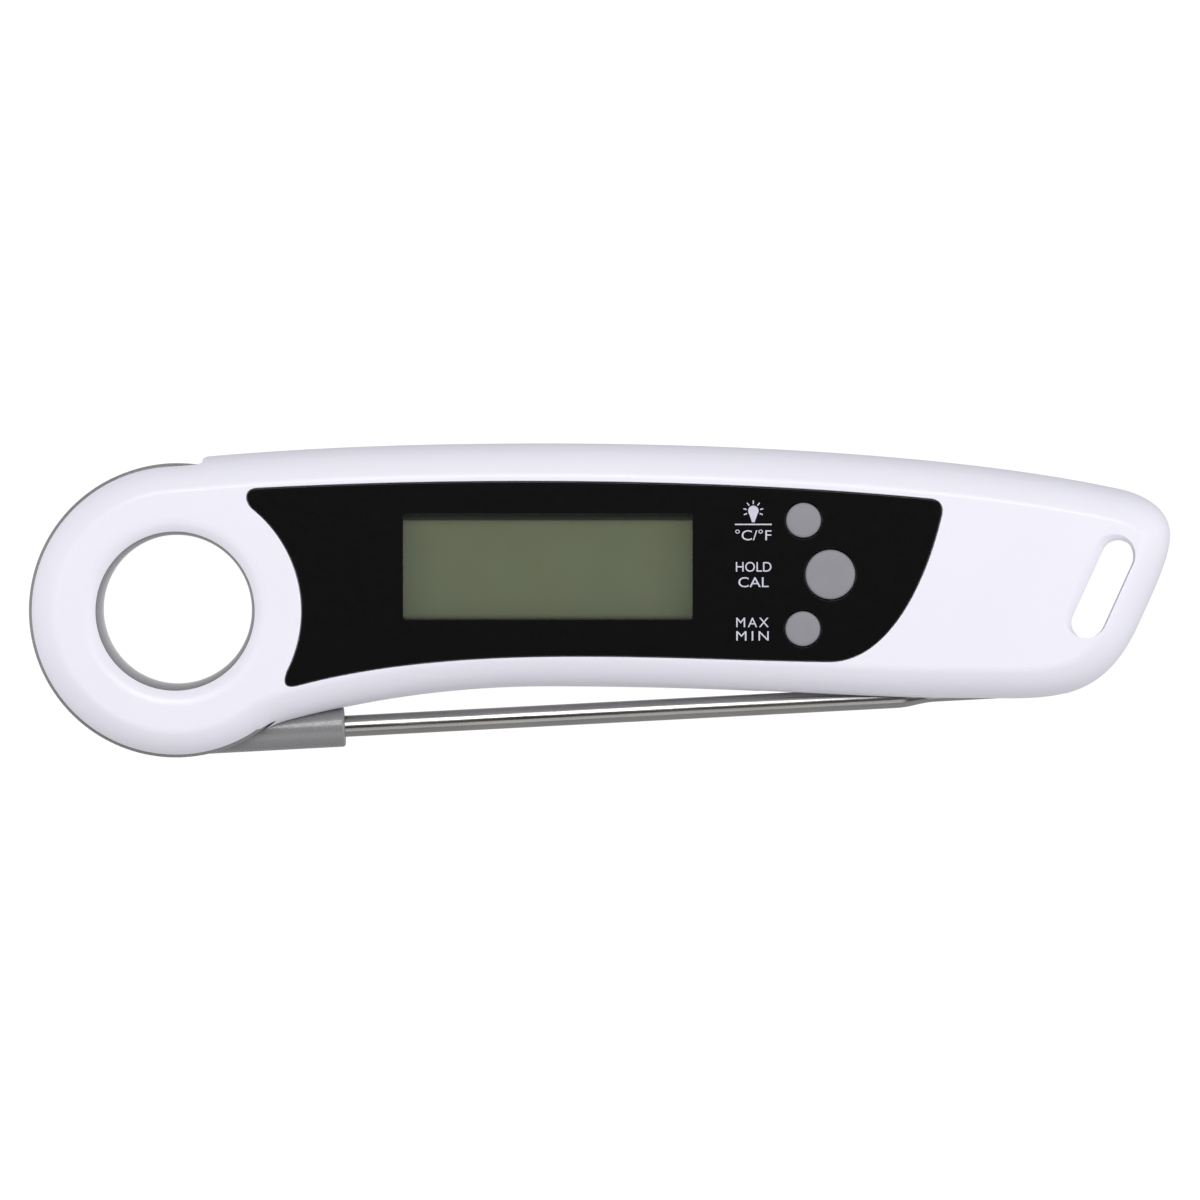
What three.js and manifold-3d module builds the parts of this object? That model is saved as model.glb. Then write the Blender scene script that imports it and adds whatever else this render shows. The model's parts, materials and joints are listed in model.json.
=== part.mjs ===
// Folding probe meat thermometer, lying on its back with the display up.
// Millimetres, +Z up, X along the housing with the finger ring at -X, Y towards the display's top edge.
// The origin is under the middle of the housing, on the surface that the back lies on.
import * as THREE from 'three';
import { mergeVertices } from 'three/addons/utils/BufferGeometryUtils.js';
import Module from 'manifold-3d';

const wasm = await Module();
wasm.setup();

// ---- driving dimensions ------------------------------------------------------------------------
const THICK = 19;                 // housing from back face to front face
const MID = THICK / 2;            // parting plane between the two covers
const WALL = 2.2;                 // general wall of the covers
const FACE = 2.5;                 // front and back wall
const GAP = 0.3;                  // running clearance
const FIT = 0.15;                 // clearance round a part that sits still
const TOUCH = 0.1;                // hairline between parts that rest on each other
const HAIR = 0.05;                // the same where there is hardly any room
const RIB = 1.6;                  // wall round the beds of the arm and the tube
const PAST = 1;                   // how far a cutter runs on past the face that it opens

const PIVOT = { x: -63.5, y: -1.5 };        // axis of the finger ring and of the probe hinge
const RING_R = 22.6;                        // finger ring end of the housing, at the parting plane
const HUB = { bore: 13.3, rim: 22, low: 4.6, high: 14.4, edge: 0.4 };
const CHAMBER = { r: 22.3, low: 4.3, high: 14.7 };
const CHAMBER_WALL_R = 25;                  // far side of the wall between hub chamber and electronics
const SLEEVE = { inner: 11.4, outer: 13, low: 1.2, high: 17.8 };
const LIP = { r: 11.8, deep: 1 };           // ring lip that keeps the sleeve in
const OPEN_FROM = 80;                       // degrees about PIVOT where the side wall stops, top
const OPEN_TO = 307;                        // and bottom: between them the hub rim shows

const PROBE_OFFSET = 18.75;                 // probe axis to hinge axis
const PROBE_TILT = 3;                       // degrees that the folded probe rises towards +X
const TUBE = { r: 1.6, bore: 1.2, start: 4.5, taper: 107, thin: 113, end: 130, thinR: 0.95 };
const POINT = { skin: 0.35, tip: 3, plug: 5 };         // the tube's thin end and its closed point
const ARM = { r: 3.05, bore: 1.9, start: 0.2, end: 24.3, relief: 0.4 };
const GROOVE = { half: 2.1, deep: 8, start: 84, end: 132.5 };
const SENSOR = { r: 0.4, start: 117, end: 121, gap: 0.5 };

const WINDOW = { x0: -29.4, x1: 13.8, y0: -2.7, y1: 13.1, corner: 0.5, shelf: 0.6 };
const PANEL = { low: 17.95, high: 18.9, gap: 0.12 };
const DECK = 16.5;                          // underside of the wall that carries the panel
const BOARD = { x0: -37, x1: 56.5, y0: -8.9, y1: 16.9, low: 9.6, high: 10.8 };
const GLASS = { x0: -32, x1: 16.4, y0: -5, y1: 14.4, low: 14.1, high: 16.3 };
const FRAME = { rim: 1, ledge: 1.2, stripFrom: 0.3, stripTo: 2.2, lightFrom: 3.2 };   // holder of the glass
const KEYS = [
  { name: 'light', x: 30.4, y: 12.1, r: 2.6 },
  { name: 'hold', x: 34.4, y: 4, r: 3.7 },
  { name: 'minmax', x: 30.3, y: -4.1, r: 2.6 },
];
const KEY = { top: 19.4, edge: 0.5, gap: 0.25, nubR: 1.2, nubLow: 14.35 };
const FLANGE = { out: 0.8, low: 15.6, high: 16.1 };    // keeps a key from coming out
const ROUND_BOSS = 0.4;             // from a housing screw's boss to the board
const NUB_ROOM = 0.4;               // round a key's nub where it passes through the web
const SKIRT = { thick: 0.6, lean: 0.5 };
const WEB = { x0: 23.2, x1: 40.6, y0: -8.8, y1: 16.8, low: 14, high: 14.6, rim: 0.9 };
const SWITCH = { size: 4.5, high: 13.2, well: 0.4, plungerR: 1, plungerLow: 12.9, plungerHigh: 14 };

const SLOT = { x: 75.1, y: 1.74, angle: 65.6, length: 15.8, width: 5.6, wall: 1.7 };
const CELL = { x: 36, y: 3.6, r: 10, low: 3.6, high: 6.8, edge: 0.4, crimp: 0.9, crown: 1.2 };
const CONTACT = { thick: 0.3, reach: 8.4, overlap: 1, negative: 0.8, positive: 1.2, slit: 2.4 };
const DOOR = { r: 13, gap: 0.25, low: 0.3, high: 2.1 };
const DOOR_SEAL = { r: 12, section: 0.4, trackHalf: 0.5, trackDeep: 0.75 };
const LUG = { inner: 9.2, outer: 10.3, half: 1.6, tall: 1, angles: [30, 150, 270] };
const COIN = { half: 7, wide: 0.8, deep: 0.7 };    // coin slot in the door
const CUP = { r: 10.6, wall: 1.4, roofLow: 7.6, roofHigh: 8.6 };
const SCREWS = [{ x: -36.5, y: 17.3 }, { x: -34.5, y: -9.5 }, { x: 61, y: 12.6 }, { x: 60.5, y: -5.6 }];
const SCREW = { head: 2, shank: 1, outer: 0.6, seat: 2, tip: 12, arm: 1.3, slot: 0.25, deep: 0.7 };
const SCREW_BED = { hole: 1.3, sink: 2.35, boss: 2.7, pilot: 2.4 };
const BOARD_SCREWS = [{ x: -35, y: 12.6 }, { x: 20.6, y: 12.6 }, { x: 53.5, y: 4 }];
const BOARD_SCREW = {
  head: 1.6, shank: 0.7, outer: 11.8, seat: BOARD.high + HAIR, tip: 7.2, arm: 1.1, slot: 0.2, deep: 0.5,
};
const BOARD_BED = { hole: 0.95, post: 2, spare: 0.5, corner: 1.5 };
const MAGNETS = [{ x: -25, y: 4 }, { x: 61, y: 3.6 }];
const MAGNET = { r: 4, low: 0.2, high: 2.2, wall: 1.3, roof: 1.2 };
const COMPONENTS = [
  { name: 'controller_chip', look: 'chip', x: -7, y: 5, long: 10, wide: 10, tall: 1.65, under: true },
  { name: 'backlight_lamp', look: 'diffuser', x: 20, y: 5.5, long: 2.8, wide: 3, tall: 1.55, under: false },
  { name: 'clock_crystal', look: 'nickel', x: 7, y: 10, long: 6, wide: 2, tall: 2.05, under: true },
  { name: 'reed_switch', look: 'clear', x: -34.7, y: -0.7, long: 1.8, wide: 11.4, tall: 2.15, under: true },
];

// ---- colours -----------------------------------------------------------------------------------
const LOOKS = {
  white: [0xe9e9f1, 0.35, 0], black: [0x0e0e0e, 0.12, 0], grey: [0x959399, 0.5, 0],
  arm: [0x9a989a, 0.35, 0.1],
  steel: [0x9c9c9c, 0.28, 1], clear: [0xdfe5e0, 0.05, 0], lcd: [0x62695a, 0.3, 0], board: [0x2f6b3d, 0.6, 0],
  rubber: [0x55565c, 0.8, 0], chip: [0x1c1c1e, 0.5, 0], brass: [0xc9a75a, 0.35, 1], wire: [0xb9b4a8, 0.6, 0],
  seal: [0x2b2b2d, 0.8, 0], nickel: [0xc8c8c6, 0.25, 1], diffuser: [0xf2f4ea, 0.4, 0],
};

// ---- solids ------------------------------------------------------------------------------------
const radians = (degrees) => (degrees * Math.PI) / 180;

function solid(geometry) {
  const bare = geometry.clone();
  bare.deleteAttribute('normal');
  bare.deleteAttribute('uv');
  const merged = mergeVertices(bare, 1e-4);
  const vertProperties = new Float32Array(merged.attributes.position.array);
  const triVerts = new Uint32Array(merged.index.array);
  return new wasm.Manifold(new wasm.Mesh({ numProp: 3, vertProperties, triVerts }));
}

function geometryOf(body) {
  const mesh = body.getMesh();
  const points = new Float32Array((mesh.vertProperties.length / mesh.numProp) * 3);
  for (let i = 0; i < points.length / 3; i++) {
    for (let k = 0; k < 3; k++) points[3 * i + k] = mesh.vertProperties[mesh.numProp * i + k];
  }
  const geometry = new THREE.BufferGeometry();
  geometry.setAttribute('position', new THREE.BufferAttribute(points, 3));
  geometry.setIndex(new THREE.BufferAttribute(new Uint32Array(mesh.triVerts), 1));
  const flat = geometry.toNonIndexed();
  flat.computeVertexNormals();
  return flat;
}

const join = (first, ...rest) => rest.reduce((sum, body) => sum.add(body), first);
const cut = (first, ...rest) => rest.reduce((sum, body) => sum.subtract(body), first);

function box(x0, x1, y0, y1, z0, z1) {
  const geometry = new THREE.BoxGeometry(x1 - x0, y1 - y0, z1 - z0);
  geometry.translate((x0 + x1) / 2, (y0 + y1) / 2, (z0 + z1) / 2);
  return solid(geometry);
}

function disc(x, y, r, z0, z1, sides = 24) {
  const geometry = new THREE.CylinderGeometry(r, r, z1 - z0, sides);
  geometry.rotateX(Math.PI / 2);
  geometry.translate(x, y, (z0 + z1) / 2);
  return solid(geometry);
}

// A body of revolution about a vertical axis; profile is a closed list of [radius, height].
function turned(x, y, profile, sides = 36) {
  const points = profile.map(([r, z]) => new THREE.Vector2(r, z));
  if (profile[0][0] > 0 || profile[profile.length - 1][0] > 0) points.push(points[0].clone());
  const geometry = new THREE.LatheGeometry(points, sides);
  geometry.rotateX(Math.PI / 2);
  geometry.translate(x, y, 0);
  return solid(geometry);
}

const ringProfile = (inner, outer, low, high) => [[inner, low], [outer, low], [outer, high], [inner, high]];

const discs = (spots, r, z0, z1, sides) => spots.map(({ x, y }) => disc(x, y, r, z0, z1, sides));

function prism(shape, z0, z1, curveSegments = 10) {
  const geometry = new THREE.ExtrudeGeometry(shape, { depth: z1 - z0, bevelEnabled: false, curveSegments });
  geometry.translate(0, 0, z0);
  return solid(geometry);
}

function roundedRect(x0, x1, y0, y1, r) {
  const shape = new THREE.Shape();
  shape.moveTo(x0 + r, y0);
  shape.lineTo(x1 - r, y0);
  shape.absarc(x1 - r, y0 + r, r, -Math.PI / 2, 0);
  shape.absarc(x1 - r, y1 - r, r, 0, Math.PI / 2);
  shape.absarc(x0 + r, y1 - r, r, Math.PI / 2, Math.PI);
  shape.absarc(x0 + r, y0 + r, r, Math.PI, 1.5 * Math.PI);
  return shape;
}

// A cross-headed screw from the outer face of its head to its tip, either way up.
function screw({ x, y }, { head, shank, outer, seat, tip, arm, slot, deep }) {
  const out = Math.sign(outer - tip);
  const between = (a, b) => [Math.min(a, b), Math.max(a, b)];
  const recess = between(outer - out * deep, outer + out * PAST);
  return cut(
    join(
      disc(x, y, head, ...between(outer, seat), 16),
      disc(x, y, shank, ...between(seat + out * HAIR, tip), 10),
    ),
    box(x - arm, x + arm, y - slot, y + slot, ...recess),
    box(x - slot, x + slot, y - arm, y + arm, ...recess),
  );
}

// A thin round tube or wire along a curve, with flat ends.
function wire(curve, r, steps, sides = 8) {
  const section = new THREE.Shape();
  section.absarc(0, 0, r, 0, 2 * Math.PI);
  return solid(new THREE.ExtrudeGeometry(section, { steps, extrudePath: curve, curveSegments: sides / 2 }));
}

// ---- the housing's outline ---------------------------------------------------------------------
const RING_TOP = 95;              // degrees about PIVOT where the ring runs into the top edge
const RING_FOOT = 306;            // and into the bottom edge
const WAIST = { x: -8, low: -12.95, high: 23.5 };

function ringPoint(degrees, r = RING_R) {
  const turn = radians(degrees);
  return new THREE.Vector2(PIVOT.x + r * Math.cos(turn), PIVOT.y + r * Math.sin(turn));
}

function housingPath() {
  const start = ringPoint(RING_TOP);
  const path = new THREE.Path();
  path.absarc(PIVOT.x, PIVOT.y, RING_R, radians(RING_TOP), radians(RING_FOOT));
  path.quadraticCurveTo(-48.8, -18.75, -46, -17.97);
  path.bezierCurveTo(-35.4, -15, -22, WAIST.low, WAIST.x, WAIST.low);
  path.bezierCurveTo(22, WAIST.low, 38, -14.75, 54, -14.75);
  path.bezierCurveTo(67, -14.75, 75.2, -16.4, 81, -3.15);
  path.bezierCurveTo(82.7, 0.75, 85.5, 6.2, 85.5, 9.7);
  path.bezierCurveTo(85.5, 13.6, 82, 15.75, 78, 16.65);
  path.bezierCurveTo(55, 21.7, 20, WAIST.high, WAIST.x, WAIST.high);
  path.bezierCurveTo(-26, WAIST.high, -42, 23.02, -59.4, 21.5);
  path.lineTo(start.x, start.y);
  return path;
}

// How many steps follow a curve: enough that no chord leaves it by more than sag.
function stepsAlong(curve, sag = 0.05) {
  const samples = 24;
  let turning = 0;
  for (let i = 0; i < samples; i++) {
    turning += curve.getTangent(i / samples).angleTo(curve.getTangent((i + 1) / samples));
  }
  return Math.max(1, Math.ceil(Math.sqrt((curve.getLength() * turning) / (8 * sag))));
}

// Points along a closed path, drawn in by inset.
function insetLoop(path, inset) {
  const points = [];
  path.curves.forEach((curve) => {
    const count = stepsAlong(curve);
    for (let i = 0; i < count; i++) {
      const point = curve.getPoint(i / count);
      const along = curve.getTangent(i / count);
      points.push(new THREE.Vector2(point.x - along.y * inset, point.y + along.x * inset));
    }
  });
  return points;
}

// A solid through loops of equal length; levels is a list of [height, inset], bottom first.
function loft(levels) {
  const loops = levels.map(([, inset]) => insetLoop(housingPath(), inset));
  const count = loops[0].length;
  const points = [];
  const index = [];
  loops.forEach((loop, level) => loop.forEach((p) => points.push(p.x, p.y, levels[level][0])));
  for (let level = 0; level + 1 < levels.length; level++) {
    for (let i = 0; i < count; i++) {
      const a = level * count + i;
      const b = level * count + ((i + 1) % count);
      index.push(a, b, b + count, a, b + count, a + count);
    }
  }
  const top = (levels.length - 1) * count;
  THREE.ShapeUtils.triangulateShape(loops[0], []).forEach(([a, b, c]) => index.push(c, b, a));
  THREE.ShapeUtils.triangulateShape(loops[levels.length - 1], []).forEach(([a, b, c]) => {
    index.push(top + a, top + b, top + c);
  });
  const geometry = new THREE.BufferGeometry();
  geometry.setAttribute('position', new THREE.Float32BufferAttribute(points, 3));
  geometry.setIndex(index);
  return solid(geometry);
}

// Side of a cover: height above the parting plane and how far the surface has drawn in.
const BELLY = [[0, 0], [3, 0.3], [6, 1.3], [8.2, 2.8], [MID, 4.6]];
const INSIDE = [[-0.2, WALL], [4, WALL + 0.5], [MID - FACE, WALL + 2.2]];

const upwards = (levels) => levels.map(([height, inset]) => [MID + height, inset]);
const downwards = (levels) => levels.map(([height, inset]) => [MID - height, inset]).reverse();

// ---- the probe's own line ----------------------------------------------------------------------
const PROBE_FOOT = ringPoint(PROBE_TILT - 90, PROBE_OFFSET);

// Turns a body drawn along +X from the origin onto the folded probe's axis.
function ontoProbe(body) {
  return body.rotate([0, 0, PROBE_TILT]).translate([PROBE_FOOT.x, PROBE_FOOT.y, MID]);
}

function roundBar(profile, sides = 20) {
  const points = profile.map(([along, r]) => new THREE.Vector2(r, along));
  if (profile[0][1] > 0 || profile[profile.length - 1][1] > 0) points.push(points[0].clone());
  const geometry = new THREE.LatheGeometry(points, sides);
  geometry.rotateZ(-Math.PI / 2);
  return ontoProbe(solid(geometry));
}

const rod = (from, to, r, sides = 20) => roundBar([[from, 0], [from, r], [to, r], [to, 0]], sides);

function grooveBlock(margin) {
  const { half, deep, start, end } = GROOVE;
  return ontoProbe(box(start - margin, end + margin, -deep, half + margin, -half - margin, half + margin));
}

// ---- covers ------------------------------------------------------------------------------------
function panelPath() {
  const hollow = { x: -64.26, y: PIVOT.y, r: 19.62 };
  const path = new THREE.Path();
  path.absarc(hollow.x, hollow.y, hollow.r, radians(50.8), radians(-25.7), true);
  path.quadraticCurveTo(-48.2, -13.5, -45, -12.6);
  path.bezierCurveTo(-20.8, -6.15, 8.9, -8.75, 34, -9.1);
  path.bezierCurveTo(42.5, -9.3, 48.4, 1.4, 51.1, 12.9);
  path.quadraticCurveTo(51.5, 15.1, 49.3, 15.35);
  path.bezierCurveTo(18, 18.4, -20, 18.6, -51.3, 16.93);
  path.bezierCurveTo(-53.4, 16.75, -53.1, 14.7, -51.86, 13.7);
  return path;
}

const panelShape = (inset) => new THREE.Shape(insetLoop(panelPath(), inset));

function stadium(z0, z1) {
  const r = SLOT.width / 2;
  const half = (SLOT.length - SLOT.width) / 2;
  const shape = new THREE.Shape();
  shape.absarc(half, 0, r, -Math.PI / 2, Math.PI / 2);
  shape.absarc(-half, 0, r, Math.PI / 2, 1.5 * Math.PI);
  return prism(shape, z0, z1, 5).rotate([0, 0, SLOT.angle]).translate([SLOT.x, SLOT.y, 0]);
}

// Everything from the hang slot's inner side out to the housing's far end.
function slotEnd(margin) {
  const reach = 40;
  return box(-reach, reach, -reach, SLOT.width / 2 + margin, -PAST, THICK + PAST)
    .rotate([0, 0, SLOT.angle]).translate([SLOT.x, SLOT.y, 0]);
}

// The stretch of side wall that is left out so that the hub's rim shows between the covers.
function sideOpening() {
  const reach = 34;
  const shape = new THREE.Shape();
  shape.moveTo(PIVOT.x, PIVOT.y);
  shape.absarc(PIVOT.x, PIVOT.y, reach, radians(OPEN_FROM), radians(OPEN_TO));
  return prism(shape, CHAMBER.low, CHAMBER.high, 8);
}

function sharedCuts() {
  const { x, y } = PIVOT;
  return [
    disc(x, y, CHAMBER.r, CHAMBER.low, CHAMBER.high, 48),
    disc(x, y, LIP.r, -PAST, THICK + PAST, 36),
    disc(x, y, HUB.bore, LIP.deep, THICK - LIP.deep, 36),
    sideOpening(),
    rod(0, ARM.end + ARM.relief, ARM.r + GAP),
    grooveBlock(0),
    stadium(-PAST, THICK + PAST),
    gasketRing(TOUCH),
  ];
}

function hollow(levels) {
  return cut(
    loft(levels),
    disc(PIVOT.x, PIVOT.y, CHAMBER_WALL_R, -PAST, THICK + PAST, 48),
    grooveBlock(RIB),
    rod(0, ARM.end + ARM.relief + RIB, ARM.r + GAP + RIB),
    slotEnd(SLOT.wall),
  );
}

// The gasket's ring lies between these insets from the edge of the parting plane.
const GASKET = { outer: 0.9, inner: 1.7, half: 0.4, hubWall: 0.2, draw: 0.5 };

// The electronics' side of the parting plane, drawn in by margin from every outer wall.
function sealedArea(margin, half) {
  const inward = margin - GASKET.draw;
  return cut(
    loft([[MID - half, margin], [MID + half, margin]]),
    disc(PIVOT.x, PIVOT.y, CHAMBER.r + GASKET.hubWall + margin, 0, THICK, 48),
    grooveBlock(inward),
    rod(0, ARM.end + ARM.relief + inward, ARM.r + GAP + inward),
    slotEnd(inward),
  );
}

// The gasket itself, or with play the track that it lies in.
function gasketRing(play) {
  const { outer, inner, half } = GASKET;
  return cut(sealedArea(outer - play, half + play / 2), sealedArea(inner + play, half + PAST));
}

// A tunnel in the front cover that takes the sensor lead from the hub to the board.
const TUNNEL = { x: -45.5, y: PIVOT.y, r: 0.8, z: 16.1, length: 10 };

function frontCover() {
  const { x0, x1, y0, y1, shelf } = WINDOW;
  const posts = discs(SCREWS, SCREW_BED.pilot, MID + TOUCH, DECK + PAST, 12);
  const tunnelRun = new THREE.CylinderGeometry(TUNNEL.r, TUNNEL.r, TUNNEL.length, 12);
  tunnelRun.rotateZ(Math.PI / 2);
  tunnelRun.translate(TUNNEL.x + TUNNEL.length / 2, TUNNEL.y, TUNNEL.z);
  return cut(
    loft(upwards(BELLY)),
    cut(hollow(upwards(INSIDE)), ...posts),
    ...sharedCuts(),
    ...discs(SCREWS, SCREW_BED.hole, 0, SCREW.tip + FIT, 12),
    ...KEYS.map(({ x, y, r }) => disc(x, y, r + KEY.gap, DECK - PAST, THICK + PAST)),
    prism(panelShape(0), PANEL.low - HAIR, THICK + PAST),
    prism(roundedRect(x0 - shelf, x1 + shelf, y0 - shelf, y1 + shelf, shelf), DECK - PAST, THICK),
    disc(TUNNEL.x, TUNNEL.y, TUNNEL.r, CHAMBER.high - PAST, TUNNEL.z + TUNNEL.r / 2, 12),
    solid(tunnelRun),
  );
}

function contactSlits() {
  const { x, y } = CELL;
  const { reach, slit, negative, positive } = CONTACT;
  const low = CUP.roofLow - PAST;
  const high = CUP.roofHigh + PAST;
  const left = x - reach - GAP;
  const right = x + CUP.r;
  return [
    box(left, left + slit, y - negative - GAP, y + negative + GAP, low, high),
    box(right - slit, right, y - positive - GAP, y + positive + GAP, low, high),
  ];
}

function rearCover() {
  const { x, y } = CELL;
  const posts = discs(SCREWS, SCREW_BED.boss, 0, MID - TOUCH, 12);
  const cup = disc(x, y, CUP.r + CUP.wall, 0, CUP.roofHigh, 32);
  const pads = discs(MAGNETS, MAGNET.r + MAGNET.wall, 0, MAGNET.high + MAGNET.roof);
  const boardPosts = discs(BOARD_SCREWS, BOARD_BED.post, 0, MID, 12);
  return cut(
    loft(downwards(BELLY)),
    cut(hollow(downwards(INSIDE)), ...posts, cup, ...pads, ...boardPosts),
    ...sharedCuts(),
    ...discs(SCREWS, SCREW_BED.sink, -PAST, SCREW.seat + FIT, 16),
    ...discs(SCREWS, SCREW_BED.hole, 0, MID + PAST, 12),
    ...discs(BOARD_SCREWS, BOARD_BED.hole, BOARD_SCREW.tip - BOARD_BED.spare, MID + PAST, 8),
    ...discs(MAGNETS, MAGNET.r + FIT, -PAST, MAGNET.high + TOUCH),
    disc(x, y, DOOR.r + DOOR.gap, -PAST, DOOR.high + FIT, 32),
    disc(x, y, CUP.r, 0, CUP.roofLow, 32),
    ...contactSlits(),
  );
}

// ---- display side ------------------------------------------------------------------------------
function displayPanel() {
  const { x0, x1, y0, y1, corner } = WINDOW;
  return cut(
    prism(panelShape(PANEL.gap), PANEL.low, PANEL.high),
    prism(roundedRect(x0, x1, y0, y1, corner), PANEL.low - PAST, PANEL.high + PAST, 4),
    ...KEYS.map(({ x, y, r }) => disc(x, y, r + KEY.gap, PANEL.low - PAST, PANEL.high + PAST)),
  );
}

function displayWindow() {
  const { x0, x1, y0, y1, corner, shelf } = WINDOW;
  const shape = roundedRect(x0 + HAIR, x1 - HAIR, y0 + HAIR, y1 - HAIR, corner);
  return prism(shape, PANEL.low - 2 * shelf, PANEL.high, 4);
}

// The holder's openings for the light guide and for the zebra strip, drawn in by margin: x0, x1, y0, y1.
function lightArea(margin) {
  const { x0, x1, y0, y1 } = GLASS;
  const side = FRAME.ledge + margin;
  return [x0 + side, x1 - side, y0 + FRAME.lightFrom + margin, y1 - side];
}

function stripArea(margin) {
  const { x0, x1, y0 } = GLASS;
  const side = FRAME.ledge + margin;
  return [x0 + side, x1 - side, y0 + FRAME.stripFrom + margin, y0 + FRAME.stripTo - margin];
}

function lcdFrame() {
  const { x0, x1, y0, y1, low, high } = GLASS;
  const { rim } = FRAME;
  return cut(
    box(x0 - rim, x1 + rim, y0 - rim, y1 + rim, BOARD.high + TOUCH, high + HAIR),
    box(x0 - FIT, x1 + FIT, y0 - FIT, y1 + FIT, low - TOUCH, high + PAST),
    box(...lightArea(0), BOARD.high - PAST, low + PAST),
    box(...stripArea(0), BOARD.high - PAST, low + PAST),
  );
}

function key({ x, y, r }) {
  const { top, edge, nubR, nubLow } = KEY;
  const wide = r + FLANGE.out;
  return turned(x, y, [
    [0, nubLow], [nubR, nubLow], [nubR, FLANGE.low], [wide, FLANGE.low], [wide, FLANGE.high],
    [r, FLANGE.high], [r, top - edge], [r - edge, top], [0, top],
  ], 24);
}

// The thin sloping rubber between a key and its web, which folds as the key goes down.
function skirt({ x, y, r }) {
  const { thick, lean } = SKIRT;
  const outer = r + FLANGE.out;
  const low = WEB.high + HAIR;
  const high = FLANGE.low - HAIR;
  const tip = outer - lean;
  return turned(x, y, [[outer - thick, low], [outer, low], [tip, high], [tip - thick, high]], 20);
}

function keypadWeb() {
  const { x0, x1, y0, y1, low, high, rim } = WEB;
  const floor = BOARD.high + TOUCH;
  const rimTop = DECK - TOUCH;
  const room = [x0 + rim, x1 - rim, y0 + rim, y1 - rim];
  return cut(
    box(x0, x1, y0, y1, floor, rimTop),
    box(...room, floor - PAST, low),
    box(...room, high, rimTop + PAST),
    ...discs(KEYS, KEY.nubR + NUB_ROOM, low - PAST, high + PAST, 16),
  );
}

function switchBody({ x, y }) {
  const half = SWITCH.size / 2;
  return cut(
    box(x - half, x + half, y - half, y + half, BOARD.high + HAIR, SWITCH.high),
    disc(x, y, SWITCH.plungerR + SWITCH.well / 2, SWITCH.plungerLow - SWITCH.well, SWITCH.high + PAST, 12),
  );
}

function plunger({ x, y }) {
  return disc(x, y, SWITCH.plungerR, SWITCH.plungerLow, SWITCH.plungerHigh, 12);
}

// ---- board and battery -------------------------------------------------------------------------
function mainBoard() {
  const { x0, x1, y0, y1, low, high } = BOARD;
  return cut(
    prism(roundedRect(x0, x1, y0, y1, BOARD_BED.corner), low, high, 2),
    ...discs(BOARD_SCREWS, BOARD_BED.hole, low - PAST, high + PAST, 12),
    ...discs(SCREWS, SCREW_BED.boss + ROUND_BOSS, low - PAST, high + PAST, 16),
  );
}

// A block soldered to the board, on its upper face or under it.
function component({ x, y, long, wide, tall, under }) {
  const base = under ? BOARD.low - HAIR - tall : BOARD.high + HAIR;
  return box(x - long / 2, x + long / 2, y - wide / 2, y + wide / 2, base, base + tall);
}

function batteryDoor() {
  const { x, y } = CELL;
  const { r, low, high } = DOOR;
  const { trackHalf, trackDeep } = DOOR_SEAL;
  const track = ringProfile(DOOR_SEAL.r - trackHalf, DOOR_SEAL.r + trackHalf, high - trackDeep, high + TOUCH);
  const lug = (angle) => box(LUG.inner, LUG.outer, -LUG.half, LUG.half, high - TOUCH, high + LUG.tall)
    .rotate([0, 0, angle]).translate([x, y, 0]);
  return cut(
    join(disc(x, y, r, low, high, 32), ...LUG.angles.map(lug)),
    turned(x, y, track, 32),
    box(x - COIN.half, x + COIN.half, y - COIN.wide, y + COIN.wide, low - PAST, low + COIN.deep),
  );
}

function batteryCell() {
  const { x, y, r, low, high, edge, crimp, crown } = CELL;
  return turned(x, y, [
    [0, low], [r - edge, low], [r, low + edge], [r, high - 1.5 * edge], [r - crimp, high - edge],
    [r - crown, high], [0, high],
  ], 32);
}

function negativeContact() {
  const { x, y, high } = CELL;
  const { thick, reach, overlap, negative } = CONTACT;
  const low = high + TOUCH;
  return join(
    box(x - reach, x + overlap, y - negative, y + negative, low, low + thick),
    box(x - reach, x - reach + thick, y - negative, y + negative, low, BOARD.low - HAIR),
  );
}

function positiveContact() {
  const { x, y, r, low } = CELL;
  const { thick, positive } = CONTACT;
  return box(x + r + TOUCH, x + r + TOUCH + thick, y - positive, y + positive, low, BOARD.low - HAIR);
}

// ---- probe, hub and pivot ----------------------------------------------------------------------
const LEAD = { r: 0.45, core: 0.4, loopR: 18, loopZ: 13, exit: 1.6, exitR: 1, from: -92, to: -354 };
const CHANNEL = { inner: 16.5, outer: 19.5, deep: 2.7 };      // in the hub's front face, for the lead's slack
const HUB_MAGNET = { angle: 20, r: 18, size: 1.5, low: 4.8, high: 6.8 };
const SEAL = { r: 20.8, section: 0.5, trackHalf: 0.7, trackDeep: 0.9, sunk: 0.35 };
const WASHER = { inner: 13.7, outer: 15.6, thick: 0.3, wave: 0.18, waves: 3, seatR: 16, seatDeep: 0.8 };

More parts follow.
